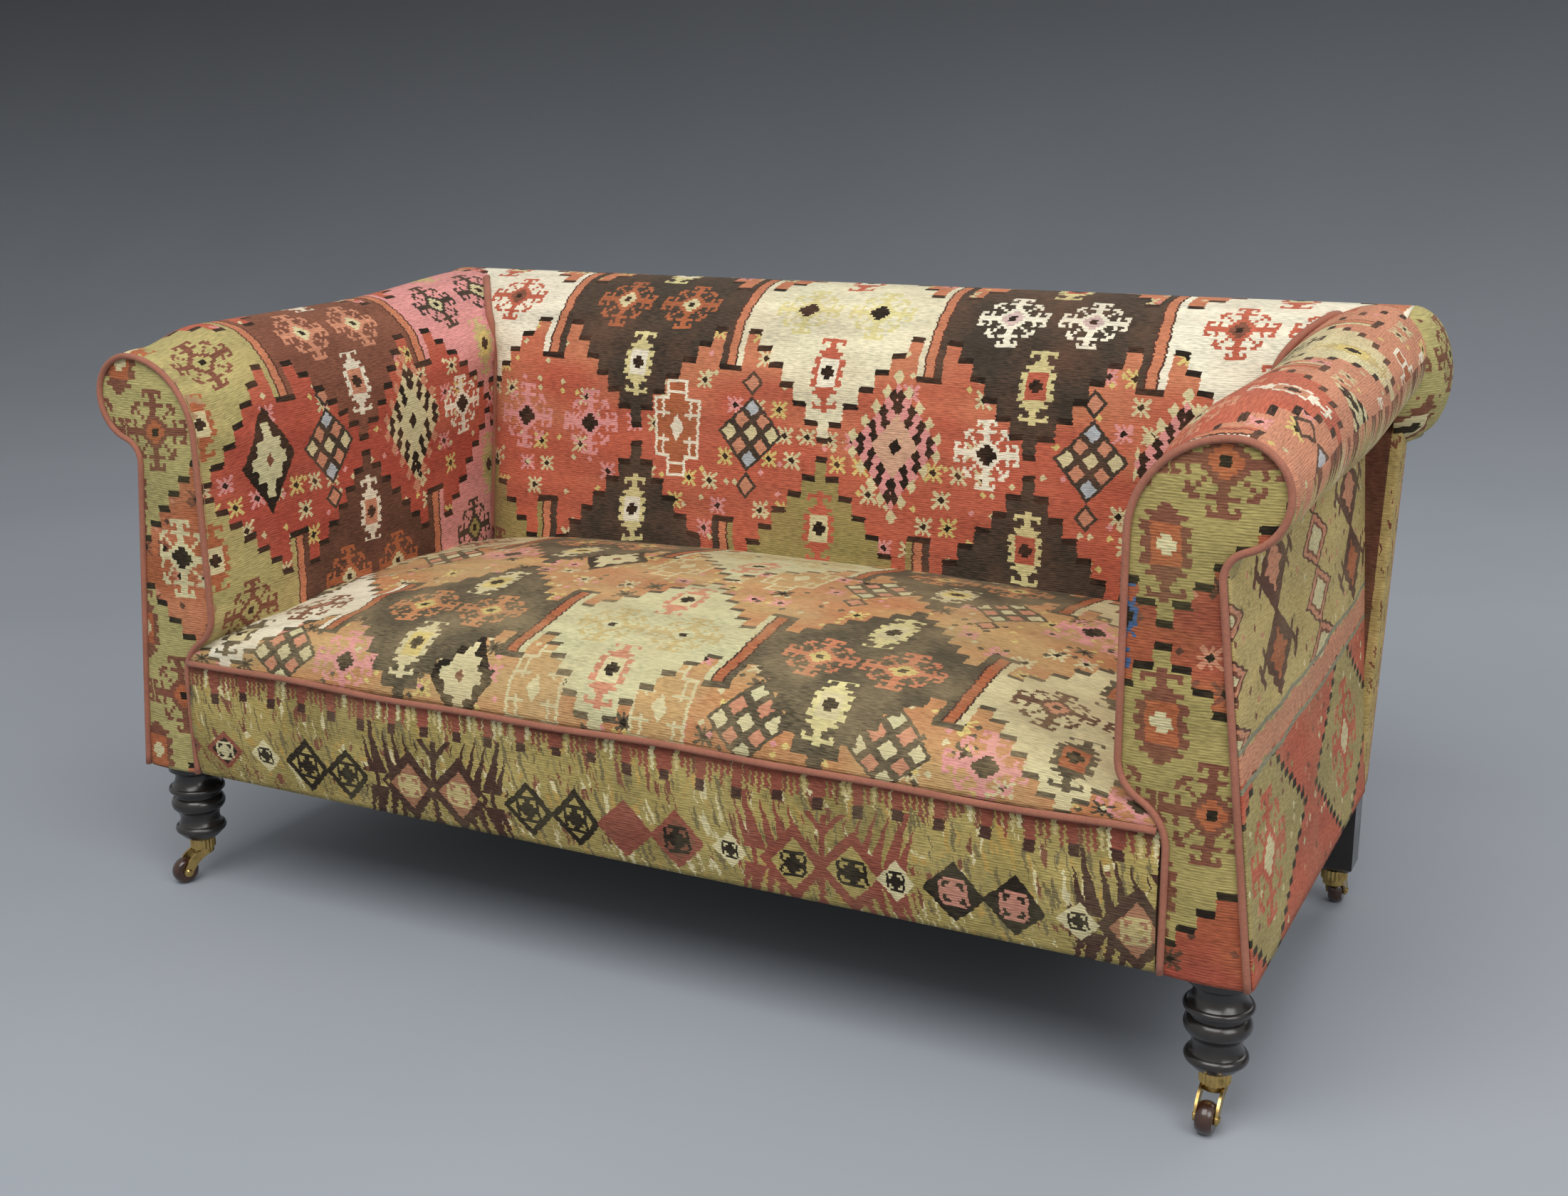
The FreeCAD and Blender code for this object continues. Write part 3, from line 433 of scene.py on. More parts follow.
def fretted_cross(p, q):
    """Cross with a double outline and bars inside: its lines and its ground."""
    outer = ((p < 0.0165) & (q < 0.070)) | ((p < 0.038) & (q < 0.043))
    inner = ((p < 0.0120) & (q < 0.0655)) | ((p < 0.0335) & (q < 0.0385))
    upright = p.near(0.0225, 0.0020) & (q < 0.0385) & (q > 0.012)
    level = q.near(0.0190, 0.0020) & (p > 0.0120) & (p < 0.0335)
    frets = upright | level | (q.near(0.050, 0.0020) & (p < 0.012))
    heart = p / 0.011 + q / 0.020 < 1
    return (outer & ~inner) | (frets & inner) | heart, inner


def lozenge_cluster(p, q):
    """Nine lozenges in a block and one at each end: the block, its tiles and their number."""
    s, t = (p * 1.05 + q) / 0.037, (p * 1.05 - q) / 0.037
    tile = (abs((s + 0.5) % 1 - 0.5) | abs((t + 0.5) % 1 - 0.5)) < 0.33
    body = (abs(s) | abs(t)) < 1.5
    ends = p * 1.05 + abs(q - 0.074) < 0.0185
    light = ((s + 0.5).floor() + (t + 0.5).floor() * 2) % 3
    return body | ends, tile, light


def star_lozenge(p, q):
    """Lozenge that holds a star: the lozenge, the star and its eye."""
    body = p / 0.047 + q / 0.074 < 1
    squashed = q * 0.72
    rays = ((p | squashed) < 0.0205) | (p + squashed < 0.0300)
    rays = rays | ((p < 0.007) & (squashed < 0.037)) | ((squashed < 0.006) & (p < 0.030))
    return body, rays & body, p + squashed < 0.007


def specks(u, v, size):
    """Scattered stitches: where they are and a random number for each."""
    across, along = u / size, v / size
    shape = abs(across % 1 - 0.5) + abs(along % 1 - 0.5) < 0.36
    return shape, lot_of_spot(across.floor(), along.floor())


def sprigs(u, v, size):
    """Small flowers of four petals, one here and there: petals, eyes and a random number for each."""
    along = v / size
    across = u / size + along.floor() * 0.37
    chance = lot_of_spot(across.floor(), along.floor() + 50)
    p, q = abs(across % 1 - 0.5), abs(along % 1 - 0.5)
    petals = (abs(p - q) < 0.10) & (p + q < 0.64) | (p.least(q) < 0.05) & (p + q < 0.36)
    return petals, p + q < 0.15, chance


print("field motifs drawn")

# %% [markdown]
# ## Wool
#
# Whatever the pattern, the wool is the same: weft packed so tightly that it makes fine ribs, dye that
# changes a little from row to row, and a softer, paler surface where the cover has been sat on. The
# ribs are a bump, and the colour changes are noise that is stretched along the weft.

# %% Wool surface
RIB = 0.0030
WANDER, ROW_SLIP = 0.020, 0.0030
WOOL = {"Specular IOR Level": 0.14, "Sheen Weight": 0.07, "Sheen Roughness": 0.5,
        "Sheen Tint": (1.0, 0.86, 0.66, 1)}


def cloth_place(yarn):
    """The two flat cloth positions of a thread."""
    x = yarn.node("ShaderNodeSeparateXYZ", {}, {0: yarn.node("ShaderNodeUVMap", {"uv_map": "cloth"})})
    return x, x.also(1)


def threads(yarn):
    """Flat cloth position with the small wander of hand weaving: u, v and the untouched pair."""
    x, y = cloth_place(yarn)
    drift = noise(yarn.node("ShaderNodeUVMap", {"uv_map": "cloth"}), 8.0, 3.0, out=1)
    dx = yarn.node("ShaderNodeSeparateXYZ", {}, {0: drift})
    u = x + (dx - 0.5) * WANDER + (lot((y / RIB).floor()) - 0.5) * ROW_SLIP
    v = y + (dx.also(1) - 0.5) * WANDER
    return u, v, x, y


def bump(height, strength, distance):
    return height.node("ShaderNodeBump", {}, {"Strength": strength, "Distance": distance, "Height": height})


def wool(shader, colour, x, y, fade, fade_dye, relief=0.0):
    """Puts threads, fading and ribs on a pattern, and joins it to the shader."""
    streak = noise(pair(x * 90, y * 480), 1.0, 4.0)
    row_dye = noise(pair(x * 5, y * 26), 1.0, 3.0)
    worn = noise(pair(x * 11, y * 11), 1.0, 5.0)
    shade = (streak - 0.5) * 1.5 + (row_dye - 0.5) * 0.9 + 1.0
    dark = x.node("ShaderNodeVectorMath", {"operation": "SCALE"}, {0: colour, "Scale": shade})
    rubbed = ((worn - 0.40) * 3.0 + (streak - 0.5) * 1.6).within()
    rib = (y * (2 * math.pi / RIB)).wave() * 0.22
    feed(shader, {"Base Color": dye(dark, fade_dye, rubbed * fade), "Roughness": 0.78 + rubbed * 0.12,
                  "Normal": bump(rib + streak * 2.2 + relief, 0.5, 0.0012)})


print("wool with", round(1 / RIB), "ribs to the metre")

# %% [markdown]
# ## The kilim
#
# Now the lattice, the motifs and the wool come together. Each cover has a plan: the size of its
# diamonds, the order of their dyes from left to right, and the two motifs in each field between them.
# A painted image could do this once, but a plan can be read, changed and cut to any cover.

# %% The fields between the diamonds
KINDS = 8
FIELD_FADE_Z = 0.22


def field_place(cell, plan):
    """A field's number, the kind of its nearer motif, and the thread's place beside that motif."""
    field = cell["across"].floor()
    fx = (cell["across"] - field - 0.5) * plan["wide"]
    fy = (cell["along"] - cell["along"].floor() - 0.5) * plan["tall"] - plan["lift"]
    number = field - plan["column"]
    spots = from_list(number, [(0.5 + m[0], 0.5 + m[2], 0, 1) for m in plan["fields"]])
    kinds = from_list(number, [(m[1] / KINDS, m[3] / KINDS, 0, 1) for m in plan["fields"]])
    spot = fx.node("ShaderNodeSeparateColor", {}, {0: spots})
    sort = fx.node("ShaderNodeSeparateColor", {}, {0: kinds})
    second = fx > (spot + spot.also(1)) * 0.5 - 0.5
    fx = fx + 0.5 - choose(spot, spot.also(1), second)
    return number, choose(sort, sort.also(1), second) * KINDS, fx, fy


def field_ground(u, v, x, y, plan):
    """The field's own dye, paler with height where the sun reached it, with sprigs and specks."""
    tone = noise(pair(x * 4, y * 10), 1.0, 2.0) - 0.40 + (y - FIELD_FADE_Z) * plan["sun"]
    colour = dye(plan["field"], plan["field_too"], (tone * 5).within())
    petals, eyes, chance = sprigs(u, v, 0.036)
    sprig = dye(from_list((chance * 50).floor() % 4, plan["specks"]), BLACK, eyes)
    colour = dye(colour, sprig, petals & (chance > 0.60))
    shape, chance = specks(u, v, 0.0140)
    speck = from_list((chance * 60).floor() % 4, plan["specks"])
    return dye(colour, speck, shape & (chance > plan["rare"]))


def field_motifs(colour, number, kind, fx, fy, petals, heart, plan):
    """Lays the motif of each field on its ground."""
    p, q = abs(fx), abs(fy)
    lozenge, ring, dark, middle, eye = toothed_lozenge(p, q)
    picture = dye(from_list(ring, (plan["rose"], plan["rose"], plan["tooth"])), BLACK, dark)
    picture = dye(dye(picture, plan["middle_dye"], middle), BLACK, eye)
    colour = dye(colour, picture, lozenge & kind.near(LOZENGE) & ~(dark & (ring > 1.5)))
    here = kind.near(STAR)
    colour = dye(dye(colour, from_list(number, plan["field_stars"]), petals & here), BLACK, heart & here)
    lines, fill = fretted_cross(p, q)
    here = kind.near(FRET)
    colour = dye(dye(colour, plan["fret_fill"], fill & here), plan["fret"], lines & here)
    body, tile, light = lozenge_cluster(p, q)
    picture = dye(plan["tile_edge"], from_list(light, plan["tiles"]), tile)
    colour = dye(colour, picture, body & kind.near(CLUSTER))
    body, rays, eye = star_lozenge(p, q)
    picture = dye(dye(BLACK, plan["rays"], rays), BROWN, eye)
    return dye(colour, picture, body & kind.near(STAR_LOZENGE))


print("fields hold one of", NOTHING, "motifs or nothing")

# %% [markdown]
# ## One plan, one cover
#
# A kilim is dyed in the order of its layers: the field, the motifs on it, the diamonds with their stars
# and buds, then caps, stripes and dark lines. Stars could be drawn twice, once for the fields and once
# for the diamonds, but no thread lies in both, so one star is drawn at whichever place counts.

# %% Kilim with diamonds
FRINGE_STEP = 0.014
# Shares of a diamond's width and height: its stars, its buds and where a bud may begin
STAR_ASIDE, BUD_UP, BUD_FROM = 0.182, 0.242, 0.125


def fringe(colour, u, past):
    """Teeth of brown and khaki where the pattern gives way to the plain end of the cloth."""
    chance = lot((u / FRINGE_STEP).floor())
    point = abs((u / FRINGE_STEP) % 1 - 0.5) * 2
    reach = 0.020 + chance * 0.035 - point * 0.030
    colour = dye(colour, from_list((chance * 40).floor() % 3, (TAN, CREAM, KHAKI)), past > 0.0)
    tooth = from_list((chance * 70).floor() % 3, (BROWN, SALMON, UMBER))
    return dye(colour, tooth, (past > 0.0) & (past < reach))


def kilim(name, plan):
    """The lattice, its stars and buds and the fields, in the dyes of one cover."""
    made, shader, yarn = new_finish(name, WOOL)
    u, v, x, y = threads(yarn)
    cell = diamonds(u, v, plan)
    a, b, inside = cell["a"], cell["b"], cell["inside"]
    number, kind, fx, fy = field_place(cell, plan)
    # One star serves the fields and, two abreast, the middle of each diamond
    star_x = choose(fx, a - STAR_ASIDE * plan["wide"], inside)
    petals, heart, seed = star(star_x, choose(fy, b, inside), plan["thread"])
    colour = field_ground(u, v, x, y, plan)
    colour = field_motifs(colour, number, kind, fx, fy, petals, heart, plan)
    # The diamonds with their own dyes, and a bud towards each tip
    leaves, bud_heart, bud_seed = bud(a, b - BUD_UP * plan["tall"], plan["thread"])
    to_tip = b > BUD_FROM * plan["tall"]
    which = cell["column"] - plan["column"] + ~cell["row"].near(0) * (len(plan["grounds"]) / 2)
    bloom = dye(from_list(which, plan["pairs"]), from_list(which, plan["pair_hearts"]), heart)
    flower = dye(from_list(which, plan["buds"]), from_list(which, plan["bud_hearts"]), bud_heart)
    ground = dye(from_list(which, plan["grounds"]), dye(bloom, BLACK, seed), petals | heart)
    ground = dye(ground, dye(flower, plan["bud_eye"], bud_seed), (leaves | bud_heart) & to_tip)
    colour = dye(dye(colour, ground, inside), plan["cap"], cell["cap"])
    colour = dye(dye(colour, plan["stripe"], cell["stripe"]), DARK_BROWN, cell["line"])
    if "fringe" in plan:
        colour = fringe(colour, u, v - plan["fringe"])
    wool(shader, colour, x, y, plan["fade"], plan["fade_dye"], cell["cap"] * 0.9)
    print(name, "is woven with", len(made.node_tree.nodes), "nodes")
    return made


COMMON = {
    "column": -2, "lift": 0.015, "thread": 0.0048, "sun": 0.0, "rare": 0.92, "fade": 0.16,
    "fade_dye": SALMON, "cap": BLACK, "stripe": ORANGE, "tooth": CREAM, "rose": PINK,
    "middle_dye": (0.60, 0.36, 0.24, 1),
    "field_stars": (WHITE, WHITE), "fret": WHITE, "fret_fill": RUST, "tile_edge": CHARCOAL,
    "tiles": (CREAM, SALMON, (0.40, 0.44, 0.46, 1)), "rays": SAGE, "specks": (YELLOW, PINK, CREAM, CREAM),
    "bud_eye": BLACK}
print("a plan has", len(COMMON), "common dyes and sizes")

# %% [markdown]
# ## Cloth as a grid
#
# Every cover is cut from one length of kilim, so every cover is made as a grid of threads: rows and
# columns of points with the flat position of each thread, in metres, kept as its UV. The pattern is
# then drawn in flat cloth, and bends, swells and tucks with it. Depths are counted backwards from the
# arm facings.

# %% Paths and grids
def deep(d):
    """Y of a point that lies d behind the arm facings."""
    return FACE_Y + d


def ease(t):
    t = np.clip(t, 0.0, 1.0)
    return t * t * (3 - 2 * t)


def girth(path):
    """Length along a path at each of its points."""
    steps = np.linalg.norm(np.diff(path, axis=0), axis=1)
    return np.concatenate([[0.0], np.cumsum(steps)])


def grid(x, d, z):
    """Points from widths, depths and heights, each a row, a column or a whole grid."""
    return np.stack(np.broadcast_arrays(x, deep(d), z), -1)


def flat(u, v):
    """Flat cloth positions in the same way."""
    return np.stack(np.broadcast_arrays(u, v), -1)


print("the front is at y =", round(deep(0.0), 4))

# %% [markdown]
# ## From grid to cover
#
# A grid of points becomes a mesh of quads, one for each crossing of threads. Its own modifier gives it
# the 3 mm of the cloth, and sewing it on means three things: its finish, the body that it rides on and
# the plain solids of the frame that it stands for.

# %% Covers
CLOTH_THICK = 0.003


def woven_quads(rows, columns, flip=False):
    """Four corners for each crossing in a grid of threads."""
    index = np.arange(rows * columns).reshape(rows, columns)
    quads = np.stack([index[:-1, :-1], index[:-1, 1:], index[1:, 1:], index[1:, :-1]], -1).reshape(-1, 4)
    return quads[:, ::-1] if flip else quads


def place(name, points, faces, cloth):
    """Puts a mesh in the scene, smooth, with its cloth positions as UVs."""
    mesh = bpy.data.meshes.new(name)
    mesh.from_pydata(np.array(points).tolist(), [], faces)
    layer = mesh.uv_layers.new(name="cloth")
    corners = np.zeros(len(mesh.loops), int)
    mesh.loops.foreach_get("vertex_index", corners)
    layer.data.foreach_set("uv", cloth[corners].astype(np.float32).ravel())
    mesh.polygons.foreach_set("use_smooth", [True] * len(mesh.polygons))
    piece = bpy.data.objects.new(name, mesh)
    bpy.context.scene.collection.objects.link(piece)
    return piece


def lay(name, points, cloth, flip=False):
    """A piece from a grid of points (rows, columns, 3) and its flat cloth positions."""
    quads = woven_quads(*points.shape[:2], flip)
    return place(name, points.reshape(-1, 3), quads.tolist(), cloth.reshape(-1, 2))


def thicken(piece):
    cloth = piece.modifiers.new("cloth", "SOLIDIFY")
    cloth.thickness, cloth.offset = CLOTH_THICK, -1.0


def sew(piece, material, slot, *nodes):
    """Gives a piece its finish, its place on the sofa and the solids it stands for."""
    piece.data.materials.append(material)
    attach(piece, "sofa")
    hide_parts(*nodes)
    print(piece.name, "has", len(piece.data.vertices), "points")
    return piece


print("cloth is", 1000 * CLOTH_THICK, "mm thick")

# %% [markdown]
# ## Stuffing pushes the cover out
#
# A cover is tacked down along its edges, and the stuffing behind it pushes it out until the cloth is
# taut. That is just what a cloth simulation with pressure does: the outer threads of the grid are
# pinned, the pressure swells the rest, and the result is written back to the mesh. A cap keeps every
# thread close to the shape that was cut.

# %% Cloth simulation
SETTLE_FRAMES = 14


def plump(piece, rows, columns, pressure, cap):
    """Swells a grid with its edges sewn down, by a cloth simulation whose result is kept."""
    scene = bpy.context.scene
    trial = bpy.data.objects.new(piece.name + "_trial", piece.data.copy())
    scene.collection.objects.link(trial)
    index = np.arange(rows * columns).reshape(rows, columns)
    edge = np.concatenate([index[0], index[-1], index[:, 0], index[:, -1]])
    trial.vertex_groups.new(name="sewn").add([int(i) for i in edge], 1.0, "REPLACE")
    cover = trial.modifiers.new("cover", "CLOTH")
    cover.settings.vertex_group_mass = "sewn"
    cover.settings.quality = 6
    cover.settings.mass = 0.4
    cover.settings.tension_stiffness = cover.settings.compression_stiffness = 25.0
    cover.settings.shear_stiffness = 8.0
    cover.settings.bending_stiffness = 2.0
    cover.settings.use_pressure = True
    cover.settings.uniform_pressure_force = pressure
    cover.settings.effector_weights.gravity = 0.0
    cover.collision_settings.use_collision = False
    cover.point_cache.frame_end = SETTLE_FRAMES
    for frame_number in range(1, SETTLE_FRAMES + 1):
        scene.frame_set(frame_number)
    settled = trial.evaluated_get(bpy.context.evaluated_depsgraph_get())
    now = np.zeros(len(piece.data.vertices) * 3, np.float32)
    settled.data.vertices.foreach_get("co", now)
    cut = np.zeros_like(now)
    piece.data.vertices.foreach_get("co", cut)
    move = (now - cut).reshape(-1, 3)
    far = np.linalg.norm(move, axis=1)
    held = np.where(far > 1e-9, cap * np.tanh(far / cap) / np.maximum(far, 1e-9), 0.0)
    piece.data.vertices.foreach_set("co", (cut.reshape(-1, 3) + move * held[:, None]).ravel())
    piece.data.update()
    bpy.data.objects.remove(trial)
    scene.frame_set(1)
    print(piece.name, "swelled by up to", round(1000 * float((far * held).max()), 1), "mm")


print("a cover settles in", SETTLE_FRAMES, "frames")

# %% [markdown]
# ## The seat
#
# The seat is a deep sprung pad: it rises steeply from the piped front edge, crowns over the springs,
# and dips towards the arms and the back, where it is tucked down and tacked. It could be sculpted
# from a box, but a profile from front to back whose height changes across the width gives the cover's
# threads directly.

# %% Seat
SEAT_HALF = 0.652
SEAM_Z = 0.336
NOSE_D, CROWN_D, TUCK_D = 0.060, 0.29, 0.604
SPRING_ACROSS, SPRING_ALONG, SPRING_HIGH = 0.28, 0.15, 0.0016


def seat_rise(x):
    """Height of the crown above the seam, less towards the arms."""
    far = np.abs(x)
    return 0.100 - 0.083 * far ** 2 - 0.011 * (far / 0.59) ** 8


def seat_profile(x):
    """Seat from the front seam, over the nose and the crown, to the tuck under the back."""
    rise = float(seat_rise(x))
    t = np.linspace(0, 1, 17)[:, None]
    # The nose is one smooth curve from four points, whose heights are shares of the rise
    nose = np.array([(-0.004, SEAM_Z), (-0.013, SEAM_Z + 0.45 * rise),
                     (0.020, SEAM_Z + 0.66 * rise), (NOSE_D, SEAM_Z + 0.72 * rise)])
    front = ((1 - t) ** 3 * nose[0] + 3 * t * (1 - t) ** 2 * nose[1]
             + 3 * t * t * (1 - t) * nose[2] + t ** 3 * nose[3])
    d = np.linspace(NOSE_D, TUCK_D, 61)[1:]
    before = 1 - 0.28 * ((CROWN_D - d) / 0.23) ** 2
    behind = 1 - 0.34 * ((d - CROWN_D) / 0.31) ** 2
    return np.concatenate([front, np.stack([d, SEAM_Z + rise * np.where(d < CROWN_D, before, behind)], -1)])


seat_x = np.linspace(-SEAT_HALF, SEAT_HALF, 141)
seat_paths = np.stack([seat_profile(x) for x in seat_x], 1)
seat_d = seat_paths[..., 0]
seat_grid = grid(seat_x, seat_d, seat_paths[..., 1])
over_springs = np.cos(seat_x * 2 * math.pi / SPRING_ACROSS) * np.cos(seat_d * 2 * math.pi / SPRING_ALONG)
seat_grid[..., 2] -= SPRING_HIGH * over_springs * ease((seat_d - 0.03) / 0.08)
seat = lay("seat_pad", seat_grid, flat(seat_x, girth(seat_profile(0.0))[:, None]))
plump(seat, *seat_grid.shape[:2], pressure=3.0, cap=0.006)
thicken(seat)
print("seat:", *seat_grid.shape[:2], "threads")

# %% [markdown]
# ## The seat's plan
#
# The seat shows one row of whole diamonds and the tips of the next. It is the most worn cover, so its
# reds are browner and more of it is rubbed pale.

# %% Seat kilim
seat_kilim = kilim("seat_kilim", {
    **COMMON, "wide": 0.285, "tall": 0.38, "first": -0.020, "middle": 0.175, "lift": 0.058, "rare": 0.82,
    "grounds": (WHITE, SEAT_DARK, SAGE, SEAT_DARK, CREAM, CREAM, SEAT_DARK, SAGE, SEAT_DARK, CREAM),
    "pairs": (BROWN, SEAT_RED, TAN, ORANGE, UMBER, BROWN, SEAT_RED, TAN, SEAT_RED, BROWN),
    "pair_hearts": (SALMON, YELLOW, SAGE, YELLOW, SALMON, SALMON, YELLOW, SAGE, YELLOW, SALMON),
    "buds": (SEAT_DARK, CREAM, SALMON, PALE_YELLOW, SEAT_DARK, RUST, CREAM, SALMON, CREAM, RUST),
    "bud_hearts": (CREAM, YELLOW, CREAM, CREAM, RUST, CREAM, YELLOW, CREAM, YELLOW, CREAM),
    "fields": ((-0.05, CLUSTER, 0.05, STAR), (-0.055, STAR_LOZENGE, 0.055, FRET),
               (-0.060, FRET, 0.055, CLUSTER), (-0.058, CLUSTER, 0.055, STAR),
               (-0.060, STAR, 0.052, CLUSTER), (-0.05, STAR, 0.05, CLUSTER)),
    "field": SEAT_RED, "field_too": SEAT_TAN, "stripe": RUST, "cap": SEAT_DARK, "fret": CREAM,
    "fret_fill": SEAT_TAN, "tile_edge": SEAT_DARK, "tiles": (CREAM, SALMON, SAGE), "rays": CREAM,
    "field_stars": (PINK, CREAM, CREAM, PINK, PINK, CREAM), "specks": (CREAM, PINK, SEAT_DARK, YELLOW),
    "fade": 0.42, "fade_dye": (0.48, 0.365, 0.195, 1)})
sew(seat, seat_kilim, "kilim", "seat_cover", "seat_stuffing")

# %% [markdown]
# ## The back and its roll
#
# The inside back leans, turns over a wide crown and curls into a roll behind. It is one long cover,
# so its profile is one path: a straight lean, a large arc, a small arc. Close to the arms the cover is
# pulled back into the corner seam, which gives the inside back its pillowed ends.

# %% Back
BACK_LEAN = 8.0
BACK_FOOT_Z, SEAT_Z = 0.350, 0.42
ROLL_D, ROLL_Z, ROLL_R, ROLL_HALF = 0.757, 0.692, 0.088, 0.745
CROWN_R = 0.155
CROWN_Z = ROLL_Z + ROLL_R - CROWN_R
BETWEEN_ARMS, PULL_FROM, PULL_RUN, BELLY_DEEP = 0.656, 0.505, 0.097, 0.007
SEAM_FOOT_D, SEAM_FOOT_Z, SEAM_LEAN = 0.614, 0.372, 0.1125


def arc(centre, radius, start, end, count):
    turn = np.radians(np.linspace(start, end, count))
    return np.stack([centre[0] + radius * np.cos(turn), centre[1] + radius * np.sin(turn)], -1)


def run(a, b, count):
    return np.linspace(np.array(a, float), np.array(b, float), count)


def corner_seam(z):
    """Depth of the seam between arm and back at a height."""
    return SEAM_FOOT_D + SEAM_LEAN * (z - SEAM_FOOT_Z)


lean = math.radians(BACK_LEAN)
lean_top = np.array([ROLL_D - CROWN_R * math.cos(lean), CROWN_Z + CROWN_R * math.sin(lean)])
lean_foot = lean_top - np.array([math.tan(lean), 1.0]) * (lean_top[1] - BACK_FOOT_Z)
back_path = np.concatenate([
    run(lean_foot, lean_top, 40),
    arc((ROLL_D, CROWN_Z), CROWN_R, 180 - BACK_LEAN, 90, 32)[1:],
    arc((ROLL_D, ROLL_Z), ROLL_R, 90, -100, 44)[1:]])
path_d, path_z = back_path[:, :1], back_path[:, 1:]
front_rows = path_d < ROLL_D
back_x = np.linspace(-ROLL_HALF, ROLL_HALF, 201)
widening = BETWEEN_ARMS + (ROLL_HALF - BETWEEN_ARMS) * ease((path_z - 0.62) / 0.09)
row_half = np.where(front_rows, widening, ROLL_HALF)
back_grid = grid(back_x * np.minimum(1.0, row_half / np.abs(back_x).clip(1e-6)), path_d, path_z)
# Pulled into the corner seams beside the arms, fading out over the crown
near_arm = np.clip((np.abs(back_x) - PULL_FROM) / PULL_RUN, 0, 1)
pull = 1 - np.sqrt(1 - np.minimum(near_arm, 0.999) ** 2)
gap = np.maximum(corner_seam(path_z) - path_d, 0.0)
back_grid[..., 1] += pull * ease((0.75 - path_z) / 0.10) * front_rows * gap
# A little belly between the arms
belly = np.cos(np.clip(back_x / 0.60, -1, 1) * math.pi / 2)
belly_height = np.sin(np.clip((path_z - 0.38) / 0.34, 0, 1) * math.pi)
back_grid[..., 1] -= BELLY_DEEP * belly * belly_height * front_rows
# Flat cloth is counted from the height of the seat
back_girth = girth(back_path) - (SEAT_Z - BACK_FOOT_Z) / math.cos(lean)
back = lay("back_pad", back_grid, flat(back_x, back_girth[:, None]))
plump(back, *back_grid.shape[:2], pressure=3.0, cap=0.005)
thicken(back)
print("back:", *back_grid.shape[:2], "threads")

# %% [markdown]
# ## The plan of the back
#
# Five diamonds stand side by side on the inside back, white ones between dark ones, and the next row
# goes over the roll. The field turns from red to orange with height, where the sun has reached it.

# %% Back kilim
back_kilim = kilim("back_kilim", {
    **COMMON, "wide": 0.308, "tall": 0.42, "first": -0.012, "middle": 0.355, "sun": 1.3,
    "grounds": (WHITE, CHARCOAL, (0.70, 0.65, 0.45, 1), CHARCOAL, WHITE, OLIVE, CHARCOAL, OLIVE, CHARCOAL,
                WHITE),
    "pairs": (BRICK, RUST, PALE_YELLOW, WHITE, BRICK, BROWN, UMBER, OLIVE, BROWN, BRICK),
    "pair_hearts": (BROWN, CREAM, BLACK, (0.55, 0.40, 0.36, 1), BROWN, SALMON, RUST, CREAM, RUST, BROWN),
    "buds": (BRICK, PALE_YELLOW, BRICK, PALE_YELLOW, BRICK, RUST, PALE_YELLOW, BRICK, PALE_YELLOW, BRICK),
    "bud_hearts": (CREAM, WHITE, WHITE, BRICK, CREAM, CREAM, WHITE, CREAM, BRICK, CREAM),
    "fields": ((-0.046, STAR, 0.074, STAR), (-0.083, FRET, 0.038, CLUSTER), (-0.044, LOZENGE, 0.092, STAR),
               (-0.072, CLUSTER, 0.05, LOZENGE), (-0.05, STAR, 0.05, FRET), (-0.05, STAR, 0.05, FRET)),
    "field": BRICK, "field_too": ORANGE, "field_stars": (PINK, WHITE, WHITE, SAGE, WHITE, WHITE)})
sew(back, back_kilim, "kilim", "back_cover", "back_stuffing")

# %% [markdown]
# ## The arms
#
# Each arm starts as the flat scroll of its facing and swells, behind the piping, to a fuller roll. The
# cover runs from the tuck beside the seat, up the inside, over the crown, round the scroll and into
# the neck below it. Every ring of threads is that same path with its own amount of swelling.

# %% Rings of an arm
ARM_IN, LOBE_X, LOBE_Z, LOBE_R = 0.602, 0.708, 0.683, 0.060
STEP_R, STEP_Z, FOOT_IN, FOOT_OUT, FOOT_Z = 0.053, 0.315, 0.655, 0.755, 0.178
NECK, NECK_R, NECK_FROM, NECK_TO = (0.7330, 0.6017), 0.025, 107.0, 186.0
SCROLL_END = NECK_FROM - 180.0
SWELL, ROLL_LIFT, ARM_TUCK_Z = 0.006, 0.014, 0.300
INNER_ROWS, CROWN_ROWS, LOBE_ROWS, NECK_ROWS = 34, 22, 30, 8
STEP_RISE = STEP_R * math.sin(math.radians(60))


def facing_inner(z):
    """The facing's inner edge at a height: foot, step, upright."""
    low = FOOT_IN - STEP_R + np.sqrt(np.maximum(STEP_R ** 2 - np.clip(z - STEP_Z, 0, STEP_R) ** 2, 0))
    mid, high_z = STEP_Z + STEP_RISE, STEP_Z + 2 * STEP_RISE
    high = FOOT_IN - np.sqrt(np.maximum(STEP_R ** 2 - np.clip(high_z - z, 0, STEP_R) ** 2, 0))
    return np.where(z <= STEP_Z, FOOT_IN, np.where(z < mid, low, np.where(z < high_z, high, ARM_IN)))


